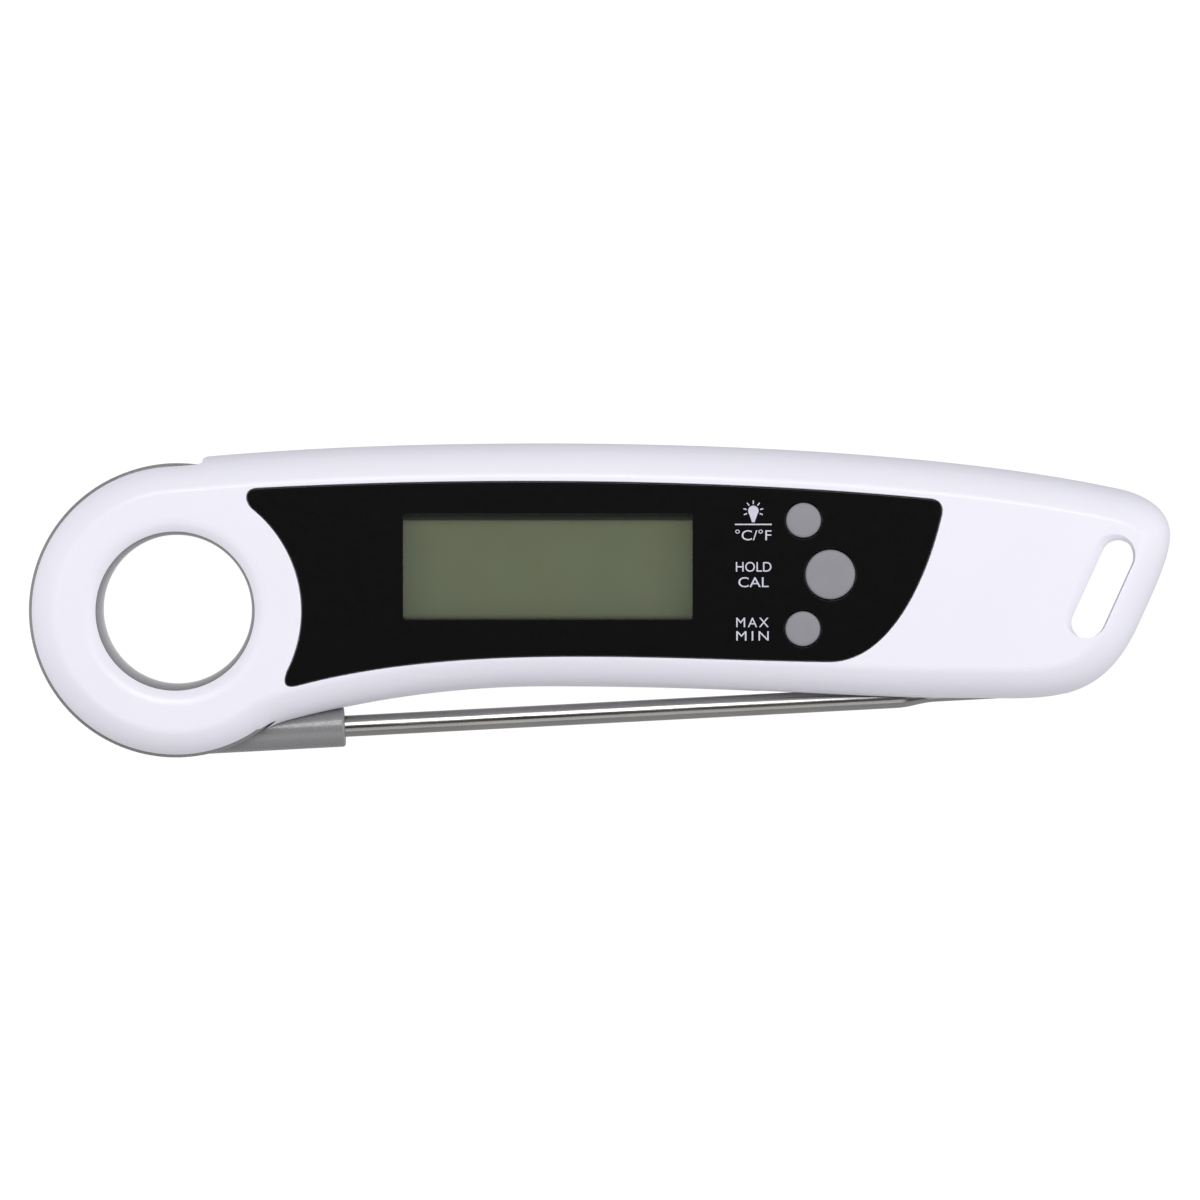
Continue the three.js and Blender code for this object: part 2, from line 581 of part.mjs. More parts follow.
function probeHub() {
  const { bore, rim, low, high, edge } = HUB;
  const { x, y } = PIVOT;
  const { r, trackHalf, trackDeep } = SEAL;
  const track = (z0, z1) => turned(x, y, ringProfile(r - trackHalf, r + trackHalf, z0, z1), 40);
  const pocket = ringPoint(HUB_MAGNET.angle, HUB_MAGNET.r);
  const blank = turned(x, y, [
    [bore, low], [rim - edge, low], [rim, low + edge], [rim, high - edge], [rim - edge, high], [bore, high],
  ], 48);
  return cut(
    join(blank, rod(0, ARM.end, ARM.r)),
    turned(x, y, ringProfile(CHANNEL.inner, CHANNEL.outer, high - CHANNEL.deep, high + PAST), 40),
    track(high - trackDeep, high + PAST),
    track(low - PAST, low + trackDeep),
    turned(x, y, ringProfile(bore - PAST, WASHER.seatR, low - PAST, low + WASHER.seatDeep), 36),
    disc(pocket.x, pocket.y, HUB_MAGNET.size + TOUCH, low - PAST, HUB_MAGNET.high + TOUCH, 16),
    rod(ARM.start, ARM.end + PAST, ARM.bore),
    disc(PROBE_FOOT.x + LEAD.exit, PROBE_FOOT.y, LEAD.exitR, MID + GAP, high, 12),
  );
}

function sealRing(x, y, z, r, section) {
  const torus = new THREE.TorusGeometry(r, section, 5, 32);
  torus.translate(x, y, z);
  return solid(torus);
}

const hubSeal = (z) => sealRing(PIVOT.x, PIVOT.y, z, SEAL.r, SEAL.section);
const doorSeal = () => sealRing(CELL.x, CELL.y, DOOR.high - GAP, DOOR_SEAL.r, DOOR_SEAL.section);

// A flat spring ring bent into three waves, which takes up the hub's end play.
function waveWasher() {
  const flat = new THREE.Shape();
  flat.absarc(0, 0, WASHER.outer, 0, 2 * Math.PI);
  const hole = new THREE.Path();
  hole.absarc(0, 0, WASHER.inner, 0, 2 * Math.PI, true);
  flat.holes.push(hole);
  const thickness = { depth: WASHER.thick, bevelEnabled: false, curveSegments: 18 };
  const geometry = new THREE.ExtrudeGeometry(flat, thickness);
  const place = geometry.attributes.position;
  for (let i = 0; i < place.count; i++) {
    const angle = Math.atan2(place.getY(i), place.getX(i));
    place.setZ(i, place.getZ(i) + WASHER.wave * Math.sin(WASHER.waves * angle));
  }
  geometry.translate(PIVOT.x, PIVOT.y, HUB.low + TOUCH);
  return solid(geometry);
}

function pivotSleeve() {
  return turned(PIVOT.x, PIVOT.y, ringProfile(SLEEVE.inner, SLEEVE.outer, SLEEVE.low, SLEEVE.high), 36);
}

// A closed-ended tube; its rounded point is half an ellipse.
function probeTube() {
  const { r, bore, start, taper, thin, end, thinR } = TUBE;
  const { skin, tip, plug } = POINT;
  const core = thinR - skin;
  const steps = 4;
  const point = [];
  for (let i = 0; i <= steps; i++) {
    const turn = (i * Math.PI) / 2 / steps;
    point.push([end - tip + tip * Math.sin(turn), i < steps ? thinR * Math.cos(turn) : 0]);
  }
  return roundBar([
    [start, bore], [start, r], [taper, r], [thin, thinR], ...point,
    [end - plug + PAST, 0], [end - plug, core], [thin, core], [taper - PAST, bore],
  ]);
}

function leadLoop() {
  const count = 18;
  const lift = (z) => new THREE.Vector3(PROBE_FOOT.x + LEAD.exit, PROBE_FOOT.y, z);
  const points = [lift(MID + 2 * GAP), lift(MID + ARM.bore + TOUCH)];
  for (let i = 0; i <= count; i++) {
    const spot = ringPoint(LEAD.from + ((LEAD.to - LEAD.from) * i) / count, LEAD.loopR);
    points.push(new THREE.Vector3(spot.x, spot.y, LEAD.loopZ));
  }
  return wire(new THREE.CatmullRomCurve3(points), LEAD.r, 36, 6);
}

// Up into the tunnel, along it, and down to the board just past its end.
function leadTail() {
  const { x, y, z, length } = TUNNEL;
  const bend = 0.7;
  const drop = x + length - GAP;
  const points = [
    [x, LEAD.loopZ], [x, z - bend], [x + bend, z], [drop - RIB, z], [drop - GAP, z - bend],
    [drop, z - bend - RIB], [drop, BOARD.high + TOUCH],
  ].map(([along, height]) => new THREE.Vector3(along, y, height));
  return wire(new THREE.CatmullRomCurve3(points, false, 'catmullrom', 0.2), LEAD.core, 24, 6);
}

// ---- the assembly ------------------------------------------------------------------------------
const group = new THREE.Group();

function add(name, look, body) {
  const [color, roughness, metalness] = LOOKS[look];
  const material = new THREE.MeshStandardMaterial({ color, roughness, metalness });
  const mesh = new THREE.Mesh(geometryOf(body), material);
  mesh.name = name;
  group.add(mesh);
}

function addHousing() {
  add('front_cover', 'white', frontCover());
  add('rear_cover', 'white', rearCover());
  add('housing_gasket', 'seal', gasketRing(0));
  SCREWS.forEach((spot, i) => add(`housing_screw_${i + 1}`, 'nickel', screw(spot, SCREW)));
  MAGNETS.forEach(({ x, y }, i) => {
    add(`back_magnet_${i + 1}`, 'nickel', disc(x, y, MAGNET.r, MAGNET.low, MAGNET.high, 24));
  });
}

function addDisplay() {
  const { x0, x1, y0, y1, low, high } = GLASS;
  add('display_panel', 'black', displayPanel());
  add('display_window', 'clear', displayWindow());
  add('lcd_glass', 'lcd', box(x0, x1, y0, y1, low, high));
  add('lcd_frame', 'white', lcdFrame());
  add('backlight_guide', 'diffuser', box(...lightArea(GAP), BOARD.high + GAP, low - GAP));
  add('zebra_strip', 'seal', box(...stripArea(GAP), BOARD.high + TOUCH, low - TOUCH));
}

function addKeys() {
  add('keypad_web', 'rubber', keypadWeb());
  KEYS.forEach((spot) => {
    add(`${spot.name}_key`, 'grey', key(spot));
    add(`${spot.name}_key_skirt`, 'rubber', skirt(spot));
    add(`${spot.name}_switch_body`, 'chip', switchBody(spot));
    add(`${spot.name}_switch_plunger`, 'grey', plunger(spot));
  });
}

function addElectronics() {
  add('main_board', 'board', mainBoard());
  BOARD_SCREWS.forEach((spot, i) => add(`board_screw_${i + 1}`, 'nickel', screw(spot, BOARD_SCREW)));
  COMPONENTS.forEach((part) => add(part.name, part.look, component(part)));
  add('battery_cell', 'nickel', batteryCell());
  add('battery_contact_negative', 'brass', negativeContact());
  add('battery_contact_positive', 'brass', positiveContact());
  add('battery_door', 'white', batteryDoor());
  add('battery_door_seal', 'seal', doorSeal());
}

function addProbe() {
  const pocket = ringPoint(HUB_MAGNET.angle, HUB_MAGNET.r);
  add('probe_hub', 'arm', probeHub());
  add('probe_tube', 'steel', probeTube());
  add('thermistor', 'chip', rod(SENSOR.start, SENSOR.end, SENSOR.r, 12));
  add('probe_lead', 'wire', rod(LEAD.exit + 2 * LEAD.core, SENSOR.start - SENSOR.gap, LEAD.core, 8));
  add('hub_magnet', 'nickel', disc(pocket.x, pocket.y, HUB_MAGNET.size, HUB_MAGNET.low, HUB_MAGNET.high, 16));
  add('hub_seal_front', 'seal', hubSeal(HUB.high - SEAL.sunk));
  add('hub_seal_rear', 'seal', hubSeal(HUB.low + SEAL.sunk));
  add('wave_washer', 'nickel', waveWasher());
  add('pivot_sleeve', 'arm', pivotSleeve());
  add('lead_loop', 'wire', leadLoop());
  add('lead_tail', 'wire', leadTail());
}

addHousing();
addDisplay();
addKeys();
addElectronics();
addProbe();

export default group;
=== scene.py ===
"""The looks of a folding probe thermometer: smooth mouldings, brushed steel and a printed panel.

Shapes are worked out in millimetres in the frame's own axes and stored in metres.
"""

import json
import math

import bmesh
import bpy
from mathutils import Matrix, Vector


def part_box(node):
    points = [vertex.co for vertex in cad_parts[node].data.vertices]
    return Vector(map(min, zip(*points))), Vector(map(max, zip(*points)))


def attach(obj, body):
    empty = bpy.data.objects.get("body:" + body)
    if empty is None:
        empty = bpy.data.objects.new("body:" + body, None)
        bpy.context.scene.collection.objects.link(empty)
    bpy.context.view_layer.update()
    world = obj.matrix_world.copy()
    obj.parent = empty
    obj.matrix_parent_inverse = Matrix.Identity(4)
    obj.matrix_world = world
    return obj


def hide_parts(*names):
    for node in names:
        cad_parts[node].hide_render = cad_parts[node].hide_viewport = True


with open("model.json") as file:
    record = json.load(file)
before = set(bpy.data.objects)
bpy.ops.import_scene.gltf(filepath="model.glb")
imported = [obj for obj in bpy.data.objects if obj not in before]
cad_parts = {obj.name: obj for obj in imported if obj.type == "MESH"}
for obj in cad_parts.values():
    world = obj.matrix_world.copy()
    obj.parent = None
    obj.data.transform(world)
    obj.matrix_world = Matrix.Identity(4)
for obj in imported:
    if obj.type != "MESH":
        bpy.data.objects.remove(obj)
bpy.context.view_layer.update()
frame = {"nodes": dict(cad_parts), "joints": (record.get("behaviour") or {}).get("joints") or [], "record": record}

MM = 0.001
TAU = 2 * math.pi

# ---- places taken from the frame, in millimetres ---------------------------------------------------


def box_mm(node):
    low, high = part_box(node)
    return low / MM, high / MM


def joint(name):
    return next(j for j in frame["joints"] if j["name"] == name)


COVER_LOW, COVER_HIGH = box_mm("front_cover")
MID = COVER_LOW.z
TOP = COVER_HIGH.z
PIVOT = Vector(joint("probe_fold")["pos_m"][:2]) / MM
PANEL_LOW, PANEL_HIGH = box_mm("display_panel")
LENS_LOW, LENS_HIGH = box_mm("display_window")
GLASS_LOW, GLASS_HIGH = box_mm("lcd_glass")
HUB_LOW = box_mm("hub_magnet")[0].z - 0.2
HUB_HIGH = 2 * MID - HUB_LOW
SLEEVE_LOW, SLEEVE_HIGH = box_mm("pivot_sleeve")
DOOR_LOW, DOOR_HIGH = box_mm("battery_door")
DOOR_CENTRE = Vector(joint("battery_door_turn")["pos_m"][:2]) / MM
KEY_NAMES = ("light", "hold", "minmax")
SCREW_NAMES = tuple(f"housing_screw_{i}" for i in range(1, 5))
MAGNET_NAMES = ("back_magnet_1", "back_magnet_2")
BOARD_SCREW_NAMES = tuple(f"board_screw_{i}" for i in range(1, 4))


def centre_of(node):
    low, high = box_mm(node)
    return (low.x + high.x) / 2, (low.y + high.y) / 2


# ---- driving dimensions of the mouldings ------------------------------------------------------------
WALL = 2.2
FACE = 2.5
GAP = 0.3
FIT = 0.15
HAIR = 0.1
RIB = 1.6
PAST = 1
RING_R = 22.6
RING_TOP, RING_FOOT = 95, 306
WAIST_LOW, WAIST_HIGH = -12.95, 23.5
HUB_BORE, HUB_RIM = 13.3, 22.0
CHAMBER_R, CHAMBER_WALL_R = 22.3, 25.0
CHAMBER_CLEAR = 0.3
OPEN_FROM, OPEN_TO, OPEN_HALF = 80, 307, 5.2
RING_TRIM = 0.26
SLEEVE_INNER, SLEEVE_MOUTH, SLEEVE_OUTER = 11.2, 11.8, 13.0
LIP_R = 11.85

PROBE_OFFSET = 18.75
PROBE_TILT = 3
TUBE_R, TUBE_BORE, THIN_R = 1.6, 1.2, 0.95
TUBE_START, TAPER, THIN, TUBE_END = 4.5, 107, 113, 130
ARM_R, ARM_BORE, ARM_END = 3.05, 1.9, 24.3
GROOVE_HALF, GROOVE_START, GROOVE_END = 2.1, 84, 132.5

SLOT_X, SLOT_Y, SLOT_ANGLE = 75.1, 1.74, 65.6
SLOT_LENGTH, SLOT_WIDTH, SLOT_WALL = 15.8, 5.6, 1.7
DECK = 16.5
CUP_R, CUP_WALL, CUP_ROOF_LOW, CUP_ROOF_HIGH = 10.6, 1.4, 7.6, 8.6
DOOR_R, DOOR_GAP, DOOR_DEEP = 13.0, 0.25, 2.25
BOSS_R, SINK_R, SHAFT_R = 2.7, 2.35, 1.3
BOARD_POST_R, BOARD_HOLE_R, BOARD_HOLE_LOW = 2, 0.95, 6.7
MAGNET_R, MAGNET_WALL, MAGNET_ROOF = 4.0, 1.3, 1.2
KEY_GAP, KEY_FLANGE = 0.25, 0.8
SLIT_LOW, SLIT_HIGH = 6.6, 9.6
SCREW_SEAT, PILOT_TOP = 2.0, 12.6
KEY_NUB_R, FLANGE_LOW, FLANGE_HIGH = 1.2, 15.6, 16.1
TUNNEL_X, TUNNEL_Z, TUNNEL_R, TUNNEL_LONG = -45.5, 16.1, 0.8, 10


def key_radius(name):
    low, high = box_mm(f"{name}_key")
    return (high.x - low.x) / 2 - KEY_FLANGE


# ---- outlines --------------------------------------------------------------------------------------


def polar(centre, r, degrees):
    a = math.radians(degrees)
    return Vector((centre[0] + r * math.cos(a), centre[1] + r * math.sin(a)))


def arc(centre, r, start, end, count):
    """Points of an arc with their directions of travel, the end left out."""
    way = 1 if end > start else -1
    made = []
    for i in range(count):
        degrees = start + (end - start) * i / count
        a = math.radians(degrees)
        made.append((polar(centre, r, degrees), Vector((-math.sin(a), math.cos(a))) * way))
    return made


def bezier(points, count):
    """Points of a Bezier curve of any degree with their directions, the end left out."""
    made = []
    for i in range(count):
        t = i / count
        row = [Vector(p) for p in points]
        while len(row) > 2:
            row = [a.lerp(b, t) for a, b in zip(row, row[1:])]
        made.append((row[0].lerp(row[1], t), (row[1] - row[0]).normalized()))
    return made


def housing_outline(inset=0.0, trim=0.0):
    """The housing from the front, anticlockwise, drawn in by inset, and by trim more round the ring."""
    foot = polar(PIVOT, RING_R, RING_FOOT)
    head = polar(PIVOT, RING_R, RING_TOP)
    ring = arc(PIVOT, RING_R, RING_TOP, RING_FOOT, 120)
    sides = [
        *bezier([foot, (-48.8, -18.75), (-46, -17.97)], 12),
        *bezier([(-46, -17.97), (-35.4, -15), (-22, WAIST_LOW), (-8, WAIST_LOW)], 36),
        *bezier([(-8, WAIST_LOW), (22, WAIST_LOW), (38, -14.75), (54, -14.75)], 36),
        *bezier([(54, -14.75), (67, -14.75), (75.2, -16.4), (81, -3.15)], 56),
        *bezier([(81, -3.15), (82.7, 0.75), (85.5, 6.2), (85.5, 9.7)], 24),
        *bezier([(85.5, 9.7), (85.5, 13.6), (82, 15.75), (78, 16.65)], 36),
        *bezier([(78, 16.65), (55, 21.7), (20, WAIST_HIGH), (-8, WAIST_HIGH)], 64),
        *bezier([(-8, WAIST_HIGH), (-26, WAIST_HIGH), (-42, 23.02), (-59.4, 21.5)], 40),
    ]
    shoulder = bezier([(-59.4, 21.5), head], 6)
    path = [(*at, inset + trim) for at in ring] + [(*at, inset) for at in sides]
    path += [(*shoulder[0], inset)] + [(*at, inset + trim) for at in shoulder[1:]]
    return [Vector((p.x - d.y * drawn_in, p.y + d.x * drawn_in)) for p, d, drawn_in in path]


def panel_outline(inset=0.0):
    """The black panel: hollow on the ring's side, slanted at the keys' side."""
    hollow, r = (-64.26, PIVOT.y), 19.62
    path = [
        *arc(hollow, r, 50.8, -25.7, 56),
        *bezier([polar(hollow, r, -25.7), (-48.2, -13.5), (-45, -12.6)], 14),
        *bezier([(-45, -12.6), (-20.8, -6.15), (8.9, -8.75), (34, -9.1)], 48),
        *bezier([(34, -9.1), (42.5, -9.3), (48.4, 1.4), (51.1, 12.9)], 48),
        *bezier([(51.1, 12.9), (51.5, 15.1), (49.3, 15.35)], 14),
        *bezier([(49.3, 15.35), (18, 18.4), (-20, 18.6), (-51.3, 16.93)], 48),
        *bezier([(-51.3, 16.93), (-53.4, 16.75), (-53.1, 14.7), (-51.86, 13.7)], 14),
    ]
    return [Vector((p.x - d.y * inset, p.y + d.x * inset)) for p, d in path]


def circle(centre, r, count=96):
    return [polar(centre, r, 360 * i / count) for i in range(count)]


def rounded_rect(x0, x1, y0, y1, r, steps=6):
    corners = [(x1 - r, y0 + r, -90), (x1 - r, y1 - r, 0), (x0 + r, y1 - r, 90), (x0 + r, y0 + r, 180)]
    return [
        polar((x, y), r, start + 90 * i / steps)
        for x, y, start in corners
        for i in range(steps + 1)
    ]


def stadium(grow=0.0, shift=(0.0, 0.0), longer=0.0, steps=24):
    """The hang slot's outline, grown all round, moved sideways and made longer at each end."""
    half = (SLOT_LENGTH - SLOT_WIDTH) / 2 + longer
    r = SLOT_WIDTH / 2 + grow
    along = polar((0, 0), half, SLOT_ANGLE)
    centre = Vector((SLOT_X, SLOT_Y)) + Vector(shift)
    made = []
    for end, start in ((along, -90), (-along, 90)):
        made += [polar(centre + end, r, SLOT_ANGLE + start + 180 * i / steps) for i in range(steps + 1)]
    return made


# ---- closed solids ---------------------------------------------------------------------------------


def made_of(name, points, faces):
    """A mesh object from points in millimetres, with poles merged and faces pointing out."""
    mesh = bpy.data.meshes.new(name)
    work = bmesh.new()
    corners = [work.verts.new((x * MM, y * MM, z * MM)) for x, y, z in points]
    for face in faces:
        work.faces.new([corners[i] for i in face])
    bmesh.ops.remove_doubles(work, verts=work.verts, dist=1e-8)
    bare = [e for e in work.edges if not e.link_faces]
    bmesh.ops.delete(work, geom=bare, context="EDGES")
    bmesh.ops.recalc_face_normals(work, faces=work.faces)
    work.to_mesh(mesh)
    work.free()
    piece = bpy.data.objects.new(name, mesh)
    bpy.context.scene.collection.objects.link(piece)
    return piece


def skin(name, loops, endless=False):
    """A closed skin over loops of equal length; an endless one joins its last loop to its first."""
    count, rows = len(loops[0]), len(loops)
    points = [p for loop in loops for p in loop]
    faces = []
    for row in range(rows if endless else rows - 1):
        a, b = row * count, (row + 1) % rows * count
        faces += [(a + i, a + (i + 1) % count, b + (i + 1) % count, b + i) for i in range(count)]
    if not endless:
        faces += [tuple(range(count))[::-1], tuple(range((rows - 1) * count, rows * count))]
    return made_of(name, points, faces)


def lofted(name, outline, levels):
    """A solid through outline(inset) at each (height, inset) of levels."""
    return skin(name, [[(p.x, p.y, z) for p in outline(inset)] for z, inset in levels])


def quarter(steps):
    return [math.pi / 2 * i / steps for i in range(steps + 1)]


def slab(name, outline, low, high, edge=0.15, steps=4):
    """A flat solid with rounded edges."""
    below = [(low + edge * (1 - math.cos(a)), edge * (1 - math.sin(a))) for a in quarter(steps)]
    above = [(high - (z - low), inset) for z, inset in reversed(below)]
    return lofted(name, outline, below + above)


def prism(name, points, low, high):
    return skin(name, [[(p[0], p[1], z) for p in points] for z in (low, high)])


def block(name, x0, x1, y0, y1, z0, z1):
    return prism(name, [(x0, y0), (x1, y0), (x1, y1), (x0, y1)], z0, z1)


def disc(name, centre, r, low, high, sides=64):
    return prism(name, circle(centre, r, sides), low, high)


def pocket(name, outline, floor, rim, edge, steps=5):
    """A cutter from floor to just past the face at rim, flared so that it leaves a rounded edge there."""
    way = 1 if rim > floor else -1
    levels = [(floor, 0.0)]
    for a in quarter(steps):
        levels.append((rim - way * edge * (1 - math.sin(a)), -edge * (1 - math.cos(a))))
    levels.append((rim + way, -edge))
    return lofted(name, outline, levels)


def turned(name, centre, profile, sides=128):
    """A solid of revolution about an upright axis; profile is a closed list of (radius, height)."""
    loops = []
    for i in range(sides):
        a = TAU * i / sides
        loops.append([(centre[0] + r * math.cos(a), centre[1] + r * math.sin(a), z) for r, z in profile])
    return skin(name, loops, endless=True)


PROBE_FOOT = polar(PIVOT, PROBE_OFFSET, PROBE_TILT - 90)
ONTO_PROBE = Matrix.Translation((PROBE_FOOT.x * MM, PROBE_FOOT.y * MM, MID * MM)) @ Matrix.Rotation(
    math.radians(PROBE_TILT), 4, "Z"
)


def onto_probe(piece):
    """Moves a body drawn along +X from the origin onto the folded probe's axis."""
    piece.data.transform(ONTO_PROBE)
    return piece


def bar(name, profile, sides=64):
    """A solid of revolution about the probe's axis; profile is a closed list of (distance, radius)."""
    loops = []
    for i in range(sides):
        a = TAU * i / sides
        loops.append([(x, r * math.cos(a), r * math.sin(a)) for x, r in profile])
    return onto_probe(skin(name, loops, endless=True))


def rod(name, start, end, r, sides=48):
    return bar(name, [(start, 0), (start, r), (end, r), (end, 0)], sides)


def combine(piece, others, operation):
    for other in others:
        step = piece.modifiers.new(other.name, "BOOLEAN")
        step.solver = "MANIFOLD"
        step.operation = operation
        step.object = other
    bpy.context.view_layer.update()
    result = bpy.data.meshes.new_from_object(piece.evaluated_get(bpy.context.evaluated_depsgraph_get()))
    piece.modifiers.clear()
    piece.data = result
    for other in others:
        bpy.data.objects.remove(other)
    return piece


def cut(piece, *others):
    return combine(piece, others, "DIFFERENCE")


def joined(piece, *others):
    return combine(piece, others, "UNION")


# ---- materials -------------------------------------------------------------------------------------


def srgb(r, g, b):
    """Linear colour from display values of 0 to 255."""
    def linear(c):
        c /= 255
        return c / 12.92 if c <= 0.04045 else ((c + 0.055) / 1.055) ** 2.4
    return (linear(r), linear(g), linear(b), 1.0)


def shaded(colour, factor):
    return (*(min(1.0, c * factor) for c in colour[:3]), 1.0)


def add_node(tree, kind, settings=None, **inputs):
    made = tree.nodes.new("ShaderNode" + kind)
    for key, value in (settings or {}).items():
        setattr(made, key, value)
    for key, value in inputs.items():
        socket = made.inputs[key.replace("_", " ")]
        if isinstance(value, bpy.types.NodeSocket):
            tree.links.new(value, socket)
        else:
            socket.default_value = value
    return made


def noise(tree, place, scale, detail=3.0):
    return add_node(tree, "TexNoise", Vector=place, Scale=scale, Detail=detail).outputs["Fac"]


def blend_colour(tree, factor, first, second):
    made = add_node(tree, "Mix", {"data_type": "RGBA"}, Factor=factor)
    for socket, value in ((made.inputs[6], first), (made.inputs[7], second)):
        if isinstance(value, bpy.types.NodeSocket):
            tree.links.new(value, socket)
        else:
            socket.default_value = value
    return made.outputs[2]


def spread(tree, value, low, high):
    """value from its middle range, 0.3 to 0.7, onto low to high."""
    made = add_node(tree, "MapRange", Value=value)
    made.inputs["From Min"].default_value = 0.3
    made.inputs["From Max"].default_value = 0.7
    made.inputs["To Min"].default_value = low
    made.inputs["To Max"].default_value = high
    return made.outputs["Result"]


def surface(name, colour, roughness, metallic=0.0, variation=0.03, patch=60.0, grain=2500.0,
            relief=0.02, rough_spread=0.04, stretch=(1, 1, 1), turn=0.0, second=None, **extra):
    """A material with soft colour patches, uneven gloss and a fine moulded or brushed grain.

    patch and grain are features per metre, relief is the grain's depth in millimetres, stretch
    draws the grain out along an axis, and turn is the angle of that axis in degrees.
    """
    material = bpy.data.materials.new(name)
    material.use_nodes = True
    tree = material.node_tree
    bsdf = tree.nodes["Principled BSDF"]
    place = add_node(tree, "TexCoord").outputs["Object"]
    mapped = add_node(tree, "Mapping", Vector=place)
    mapped.inputs["Rotation"].default_value[2] = -math.radians(turn)
    mapped.inputs["Scale"].default_value = stretch
    run = mapped.outputs["Vector"]
    patches = spread(tree, noise(tree, place, patch), 0.0, 1.0)
    tint = blend_colour(tree, patches, shaded(colour, 1 - variation), second or shaded(colour, 1 + variation))
    tree.links.new(tint, bsdf.inputs["Base Color"])
    uneven = noise(tree, run, grain * 0.35, 4.0)
    tree.links.new(
        spread(tree, uneven, roughness - rough_spread, roughness + rough_spread), bsdf.inputs["Roughness"]
    )
    bump = add_node(tree, "Bump", Height=noise(tree, run, grain, 2.0), Distance=relief * MM, Strength=1.0)
    tree.links.new(bump.outputs["Normal"], bsdf.inputs["Normal"])
    bsdf.inputs["Metallic"].default_value = metallic
    for key, value in extra.items():
        bsdf.inputs[key.replace("_", " ")].default_value = value
    return material


def lens_material():
    made = surface("clear_lens", srgb(60, 66, 56), 0.06, variation=0.05, grain=900, relief=0.002,
                   rough_spread=0.02)
    bsdf = made.node_tree.nodes["Principled BSDF"]
    bsdf.inputs["Alpha"].default_value = 0.1
    return made


def lcd_material():
    """Grey-green film with faint yellow and blue patches and a fine speckle."""
    made = surface("lcd_film", srgb(114, 123, 91), 0.42, variation=0.07, patch=140, grain=5000, relief=0.004,
                   second=srgb(113, 124, 98))
    tree = made.node_tree
    bsdf = tree.nodes["Principled BSDF"]
    place = tree.nodes["Texture Coordinate"].outputs["Object"]
    base = bsdf.inputs["Base Color"].links[0].from_socket
    warm = spread(tree, noise(tree, place, 95.0, 2.0), 0.0, 0.55)
    warmer = blend_colour(tree, warm, base, srgb(121, 124, 90))
    speckle = spread(tree, noise(tree, place, 9000.0, 1.0), 0.0, 0.35)
    tree.links.new(blend_colour(tree, speckle, warmer, srgb(94, 101, 80)), bsdf.inputs["Base Color"])
    return made


def sleeve_painted_shade_and_light():
    """The hub's grey with painted shade and light: a darker grey at the front for the shade under the lip, paler
    towards the back of the bore where the light comes in from the back.
    """
    # The base grey is darker than the hub's grey: painted shade under the ring's lip.
    made = surface("sleeve_grey_painted_shade_and_light", srgb(118, 117, 118), 0.35, variation=0.02, patch=220, grain=6500,
                   relief=0.008)
    tree = made.node_tree
    bsdf = tree.nodes["Principled BSDF"]
    base = bsdf.inputs["Base Color"].links[0].from_socket
    place = tree.nodes["Texture Coordinate"].outputs["Object"]
    # Painted light: the colour blends from the sleeve's front to near white at its back.
    height = add_node(tree, "SeparateXYZ", Vector=place).outputs["Z"]
    painted_light_down = add_node(tree, "MapRange", Value=height)
    painted_light_down.inputs["From Min"].default_value = SLEEVE_HIGH.z * MM
    painted_light_down.inputs["From Max"].default_value = SLEEVE_LOW.z * MM
    tree.links.new(
        blend_colour(tree, painted_light_down.outputs["Result"], base, srgb(240, 240, 244)), bsdf.inputs["Base Color"]
    )
    return made


def board_material():
    """Solder mask over tracks: lighter lines and bare pads under a green lacquer."""
    made = surface("solder_mask", srgb(38, 92, 52), 0.3, variation=0.1, patch=200, grain=1500, relief=0.01)
    tree = made.node_tree
    bsdf = tree.nodes["Principled BSDF"]
    place = tree.nodes["Texture Coordinate"].outputs["Object"]
    base = bsdf.inputs["Base Color"].links[0].from_socket
    tracks = add_node(tree, "TexBrick", Vector=place, Scale=260.0)
    tracks.inputs["Mortar Size"].default_value = 0.03
    tree.links.new(
        blend_colour(tree, tracks.outputs["Fac"], base, srgb(70, 132, 78)), bsdf.inputs["Base Color"]
    )
    return made


